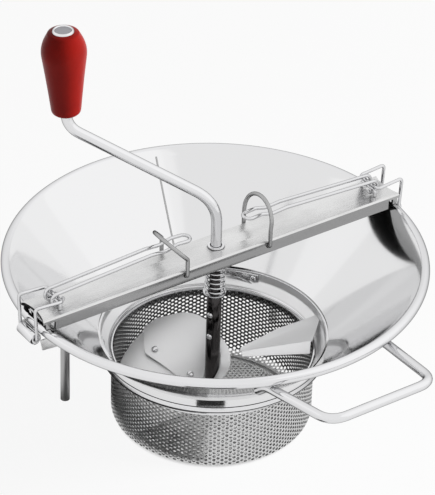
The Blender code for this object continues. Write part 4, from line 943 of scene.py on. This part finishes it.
def build_hook(side):
    """A wire hoop that stands over the lever's end, its feet through the bar's flanges."""
    sign = SIDES[side]
    lean = math.radians(HOOK_LEAN_DEG[side])
    outward = Vector((sign * math.sin(lean), 0, math.cos(lean)))
    pivot = Vector((sign * HOOK_PLACE, 0, HOOK_PIVOT_HEIGHT))
    across = Vector((0, 1, 0))
    knee = pivot + Vector((0, 0, HOOK_LEG))
    centre = knee + outward * HOOK_SHANK
    near = rounded([pivot - across * (HOOK_SPREAD - HOOK_FOOT), pivot - across * HOOK_SPREAD,
                    knee - across * HOOK_SPREAD, centre - across * HOOK_SPREAD], HOOK_BEND)
    arc = []
    for step in range(1, HOOK_STEPS):
        angle = math.pi * step / HOOK_STEPS
        arc.append(centre + (outward * math.sin(angle) - across * math.cos(angle))
                   * HOOK_SPREAD)
    dress(wire(f"hook_wire_{side}", near + arc + mirrored(near, 1), HOOK_WIRE), "hook",
          [f"hook_{side}"])


def latch_spot(side, reach, across, height):
    """A point of the latch at one end of the bar, at a reach from the middle."""
    return Vector((SIDES[side] * reach, across, height))


def build_staple(side):
    """The wire staple on the bar that the lever's eyes turn on."""
    foot = BAR_TOP + GAP
    half = [latch_spot(side, LATCH_PLACE, -STAPLE_SPREAD, foot),
            latch_spot(side, LATCH_PLACE, -STAPLE_SPREAD, STAPLE_PIN_HEIGHT)]
    staple = rounded(half + mirrored(half, 1), STAPLE_BEND)
    dress(wire(f"staple_wire_{side}", staple, STAPLE_WIRE), "wire", [f"latch_staple_{side}"])


def build_lever(side):
    """The long lever: an eye at each foot, two arms and a round tip."""
    arm_height = EYE_HEIGHT + EYE_RADIUS
    knee_height = arm_height + LEVER_RISE
    tip_height = knee_height + LEVER_CREST - LEVER_TIP_DROP
    near = []
    for step in range(EYE_STEPS, 0, -1):
        angle = math.radians(90 + EYE_TURN_DEG * step / EYE_STEPS)
        near.append(latch_spot(side, LATCH_PLACE - EYE_RADIUS * math.cos(angle),
                               -LEVER_SPREAD, EYE_HEIGHT + EYE_RADIUS * math.sin(angle)))
    arm = [(LATCH_PLACE, arm_height), (LEVER_KNEE, knee_height),
           (LEVER_DIP_PLACE, knee_height - LEVER_DIP),
           (LEVER_CREST_PLACE, knee_height + LEVER_CREST),
           (LEVER_TIP + LEVER_SPREAD, tip_height)]
    near += rounded([latch_spot(side, reach, -LEVER_SPREAD, height) for reach, height in arm],
                    LEVER_BEND)
    tip = []
    for step in range(1, LEVER_TIP_STEPS):
        angle = math.pi * step / LEVER_TIP_STEPS
        tip.append(latch_spot(side, LEVER_TIP + LEVER_SPREAD * (1 - math.sin(angle)),
                              -LEVER_SPREAD * math.cos(angle), tip_height))
    dress(wire(f"lever_wire_{side}", near + tip + mirrored(near, 1), LEVER_WIRE), "wire",
          [f"latch_lever_{side}"])


def build_link(side):
    """The closed link from the lever's eyes over the bar's end to the roller."""
    corners = [(LATCH_PLACE, LINK_HEIGHT), (LINK_CORNER, LINK_HEIGHT + LINK_CORNER_RISE),
               (ROLLER_PLACE, ROLLER_HEIGHT)]
    half = [latch_spot(side, reach, -LINK_SPREAD, height) for reach, height in corners]
    middle = latch_spot(side, LATCH_PLACE, 0, LINK_HEIGHT)
    loop = rounded([middle] + half + mirrored(half, 1) + [middle], LINK_BEND)[:-1]
    dress(wire(f"link_wire_{side}", loop, LINK_WIRE, cyclic=True), "wire",
          [f"latch_link_{side}"])


def build_spring():
    """The pressure spring, a coil that shortens as the paddle lifts."""
    count = COIL_TURNS * COIL_POINTS
    points = []
    for step in range(count + 1):
        share = step / count
        radius = (COIL_TOP_RADIUS
                  + (COIL_FOOT_RADIUS - COIL_TOP_RADIUS) * share ** COIL_FLARE_POWER)
        points.append(polar(radius, 360 * COIL_TURNS * share,
                            COIL_TOP + (COIL_FOOT - COIL_TOP) * share))
    coil = dress(wire("spring_coil", points, COIL_WIRE), "wire", ["pressure_spring"])
    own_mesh(coil)


def build_grip():
    """The grip, and the cap's chromed ring with a grey disc let into it."""
    stand = grip_frame()
    length = GRIP_TOP - GRIP_FOOT
    outer = [Vector((GRIP_TOP_RADIUS, GRIP_TOP))]
    for height_share, bulge_share in GRIP_SHARES:
        outer.append(Vector((GRIP_FOOT_RADIUS + GRIP_BULGE * bulge_share,
                             GRIP_FOOT + length * height_share)))
    outer.append(Vector((GRIP_FOOT_RADIUS - GRIP_FOOT_CHAMFER, GRIP_FOOT)))
    outer = [(point.x, point.y) for point in smooth_through(outer, GRIP_PARTS)]
    recess = GRIP_CAP_RADIUS + GAP / 2
    recess_floor = GRIP_TOP - GRIP_CAP_DEPTH
    profile = ([(recess, GRIP_TOP)] + outer
               + [(GRIP_BORE, GRIP_FOOT), (GRIP_BORE, recess_floor), (recess, recess_floor)])
    grip = turned("grip_handle", profile, GRIP_STEPS)
    grip.matrix_world = stand
    grip = dress(grip, "red", ["grip"])
    grip.visible_glossy = False
    cap_foot = recess_floor + GAP
    line = [(radius * MM, GRIP_TOP + rise * MM) for radius, rise in GRIP_CAP_LINE]
    line += [(GRIP_CAP_RADIUS, cap_foot), (GRIP_DISC_RADIUS, cap_foot)]
    ring = turned("grip_ring", line)
    ring.matrix_world = stand
    dress(ring, "chrome", ["grip_cap"])
    face = GRIP_TOP + GRIP_DISC_RISE
    disc = turned("grip_disc", [(0, face), (GRIP_DISC_RADIUS, face),
                                (GRIP_DISC_RADIUS, cap_foot), (0, cap_foot)], closed=False)
    disc.matrix_world = stand
    dress(disc, "disc", [], "crank")


def edge_degrees(edge, share):
    """Angle at which a plan edge crosses the circle of a share of the paddle's radius."""
    for near, far in zip(edge, edge[1:]):
        near, far = Vector(near), Vector(far)
        if near.length <= share <= far.length:
            along = far - near
            a, b = along.length_squared, near.dot(along)
            c = near.length_squared - share ** 2
            spot = near + along * ((math.sqrt(b * b - a * c) - b) / a)
            return math.degrees(math.atan2(spot.y, spot.x))
    return math.degrees(math.atan2(edge[0][1], edge[0][0]))


def helical_sheet(name, inner, outer, first, last, height):
    """A sheet between two radii. first and last turn a radius into its start and end angle,
    and height turns an angle into its height."""
    shape = bmesh.new()
    rows = []
    for row in range(PADDLE_ROWS + 1):
        radius = inner + (outer - inner) * row / PADDLE_ROWS
        start, end = first(radius), last(radius)
        spots = []
        for column in range(PADDLE_COLUMNS + 1):
            degrees = start + (end - start) * column / PADDLE_COLUMNS
            spots.append(shape.verts.new(polar(radius, degrees, height(degrees))))
        rows.append(spots)
    for near, far in zip(rows, rows[1:]):
        for column in range(PADDLE_COLUMNS):
            shape.faces.new((near[column], near[column + 1], far[column + 1], far[column]))
    return bevel(thicken(meshed(name, shape), PADDLE_SHEET), PLATE_BEVEL)


def paddle_height(degrees):
    """Height of the wing's sheet at an angle."""
    return PADDLE_START_HEIGHT - PADDLE_FALL_PER_DEG * (degrees - PADDLE_START_DEG)


def build_paddle():
    """The wing, the presser riveted under it, and the hub's flight."""
    wing = helical_sheet("paddle_blade", PADDLE_INNER, PADDLE_OUTER,
                         lambda radius: edge_degrees(NOSE_EDGE, radius / PADDLE_OUTER),
                         lambda radius: edge_degrees(LAP_EDGE, radius / PADDLE_OUTER),
                         paddle_height)
    dress(wing, "satin", ["paddle_wing"])
    presser = helical_sheet("paddle_foot", PRESSER_INNER, PADDLE_OUTER,
                            lambda radius: PRESSER_START_DEG, lambda radius: PRESSER_END_DEG,
                            lambda degrees: paddle_height(degrees) - PRESSER_DROP)
    dress(presser, "satin", ["paddle_presser"])
    climb = (FLIGHT_TOP - FLIGHT_FOOT) / (FLIGHT_END_DEG - FLIGHT_START_DEG)
    flight = helical_sheet("hub_blade", PADDLE_INNER, FLIGHT_OUTER,
                           lambda radius: FLIGHT_START_DEG, lambda radius: FLIGHT_END_DEG,
                           lambda degrees: FLIGHT_FOOT + climb * (degrees - FLIGHT_START_DEG))
    dress(flight, "satin", ["hub_flight"])


def in_channel(face):
    """Whether a face of the crossbar is inside its channel."""
    return (face.center.z < BAR_TOP - BAR_BEVEL
            and abs(face.center.y) < BAR_HALF_WIDTH - BAR_BEVEL)


def refine_plates():
    """Pieces whose CAD shape is right keep it, with their edges rounded."""
    bar = refined("crossbar", "brushed", BAR_BEVEL)
    # Inside the channel: near black painted shade.
    finish_faces(bar, "shade", in_channel)
    # The flanges' faces: the darker steel as painted shade.
    finish_faces(bar, "flange", lambda face: (abs(face.normal.y) > FLANGE_FRONT
                                              and not in_channel(face)))
    refined("stop_plate", "satin", PLATE_BEVEL)
    for number in range(1, SIEVE_CLIPS + 1):
        refined(f"sieve_clip_{number}", "bright", PLATE_BEVEL)
        refined(f"clip_rivet_{number}", "bright", TURNED_BEVEL)
    for node in ("paddle_rivet_inner", "paddle_rivet_outer", "hub_screw_lower",
                 "hub_screw_upper", "thrust_washer"):
        refined(node, "wire", TURNED_BEVEL)
    for node in ("shaft_bush", "grip_washer"):
        refined(node, "chrome", TURNED_BEVEL)
    # The hub sleeve is dark steel: a painted reflection of the dark basket.
    refined("hub_sleeve", "dark", TURNED_BEVEL)
    for side in SIDES:
        refined(f"latch_roller_{side}", "chrome", TURNED_BEVEL)
        refined(f"latch_keeper_{side}", "brushed", PLATE_BEVEL)


def build_camera():
    """The camera of the photograph: long lens, slightly rolled."""
    azimuth = math.radians(CAMERA_AZIMUTH_DEG)
    elevation = math.radians(CAMERA_ELEVATION_DEG)
    roll = math.radians(CAMERA_ROLL_DEG)
    right = Vector((math.cos(azimuth), -math.sin(azimuth), 0))
    back = Vector((math.sin(azimuth), math.cos(azimuth), 0))
    forward = back * math.cos(elevation) - Vector((0, 0, math.sin(elevation)))
    up = back * math.sin(elevation) + Vector((0, 0, math.cos(elevation)))
    data = bpy.data.cameras.new("camera")
    data.lens = CAMERA_LENS_MM
    data.sensor_width = CAMERA_SENSOR_MM
    data.clip_end = CAMERA_SIGHT
    camera = link_object("camera", data)
    turn = Matrix((right * math.cos(roll) + up * math.sin(roll),
                   up * math.cos(roll) - right * math.sin(roll), -forward)).transposed()
    camera.matrix_world = turn.to_4x4()
    camera.location = (CAMERA_TARGET - forward * CAMERA_DISTANCE + right * CAMERA_SIDE
                       + up * CAMERA_LIFT)
    bpy.context.scene.camera = camera


def area_lamp(name, place, width, height, power):
    """A rectangular lamp that faces the mill."""
    data = bpy.data.lights.new(name, "AREA")
    data.shape = "RECTANGLE"
    data.size = width
    data.size_y = height
    data.energy = power
    lamp = link_object(name, data)
    lamp.location = place
    lamp.rotation_euler = (LAMP_TARGET - Vector(place)).to_track_quat("-Z", "Y").to_euler()
    return lamp


def painted_shade_card(name, shade, start_deg, end_deg, inner, outer):
    """A dark card on the floor that the camera doesn't see: painted shade of the floor, which
    metal mirrors as a dark patch.
    """
    parts = max(1, round((end_deg - start_deg) / CARD_ARC_DEG))
    arc = [start_deg + (end_deg - start_deg) * step / parts for step in range(parts + 1)]
    corners = [polar(inner, degrees, 0) for degrees in arc]
    corners += [polar(outer, degrees, 0) for degrees in reversed(arc)]
    shape = bmesh.new()
    shape.faces.new([shape.verts.new(corner) for corner in corners])
    item = meshed(name, shape)
    finish = shader_material("shade_card_" + name, (shade,) * 3, 0, STAGE_ROUGHNESS)[0]
    item.data.materials.append(finish)
    item.visible_camera = False
    item.visible_shadow = False
    item.visible_diffuse = False


def calculated(tree, operation, first, second):
    """The result of a Math node on two sockets."""
    node = tree.nodes.new("ShaderNodeMath")
    node.operation = operation
    tree.links.new(first, node.inputs[0])
    tree.links.new(second, node.inputs[1])
    return node.outputs[0]


def seen_directly(tree):
    """One for camera, glossy and transmission rays, and none for the rest."""
    path = tree.nodes.new("ShaderNodeLightPath")
    total = path.outputs["Is Camera Ray"]
    for ray in ("Is Glossy Ray", "Is Transmission Ray"):
        total = calculated(tree, "MAXIMUM", total, path.outputs[ray])
    return total


def build_floor():
    """A floor that is white where it is seen, and keeps the shadow under the basket."""
    shape = bmesh.new()
    bmesh.ops.create_circle(shape, cap_ends=True, segments=FLOOR_STEPS, radius=FLOOR_RADIUS)
    floor = meshed("floor", shape)
    floor.location = (0, 0, -FLOOR_DROP)
    finish, tree, shader = shader_material("floor_white", (FLOOR_SHADE,) * 3, 0,
                                           STAGE_ROUGHNESS)
    place = tree.nodes.new("ShaderNodeTexCoord")
    reach = tree.nodes.new("ShaderNodeVectorMath")
    reach.operation = "LENGTH"
    open_floor = tree.nodes.new("ShaderNodeMapRange")
    open_floor.inputs["From Min"].default_value = FLOOR_SHADOW_RADIUS - FLOOR_SHADOW_BLUR
    open_floor.inputs["From Max"].default_value = FLOOR_SHADOW_RADIUS
    open_floor.inputs["To Max"].default_value = FLOOR_GLOW
    tree.links.new(place.outputs["Object"], reach.inputs[0])
    tree.links.new(reach.outputs["Value"], open_floor.inputs["Value"])
    share = calculated(tree, "MULTIPLY", seen_directly(tree), open_floor.outputs["Result"])
    glow = tree.nodes.new("ShaderNodeEmission")
    blend = tree.nodes.new("ShaderNodeMixShader")
    tree.links.new(share, blend.inputs["Fac"])
    tree.links.new(shader.outputs[0], blend.inputs[1])
    tree.links.new(glow.outputs[0], blend.inputs[2])
    tree.links.new(blend.outputs[0], tree.nodes["Material Output"].inputs["Surface"])
    floor.data.materials.append(finish)


def build_world():
    """A world that is white where it is seen, and lights the object softly."""
    world = bpy.data.worlds.new("studio")
    bpy.context.scene.world = world
    world.use_nodes = True
    tree = world.node_tree
    background = tree.nodes["Background"]
    level = tree.nodes.new("ShaderNodeMapRange")
    level.inputs["To Min"].default_value = WORLD_LEVEL
    level.inputs["To Max"].default_value = 1
    tree.links.new(seen_directly(tree), level.inputs["Value"])
    tree.links.new(level.outputs["Result"], background.inputs["Strength"])
    background.inputs["Color"].default_value = (1, 1, 1, 1)


def build_stage():
    """The floor, the world, the lamps and the cards of painted shade that metal mirrors."""
    build_floor()
    build_world()
    for lamp in LAMPS:
        area_lamp(*lamp)
    area_lamp(*KEY_LAMP).visible_glossy = False
    for item in SHADE_CARDS:
        painted_shade_card(*item)


def main():
    build_camera()
    build_bowl()
    build_neck()
    build_sieve()
    build_handle()
    for side in SIDES:
        build_leg(side)
    build_crank()
    for side in SIDES:
        build_hook(side)
        build_staple(side)
        build_lever(side)
        build_link(side)
    build_spring()
    build_grip()
    build_paddle()
    refine_plates()
    build_stage()
    bpy.context.scene.view_settings.view_transform = "Standard"


main()
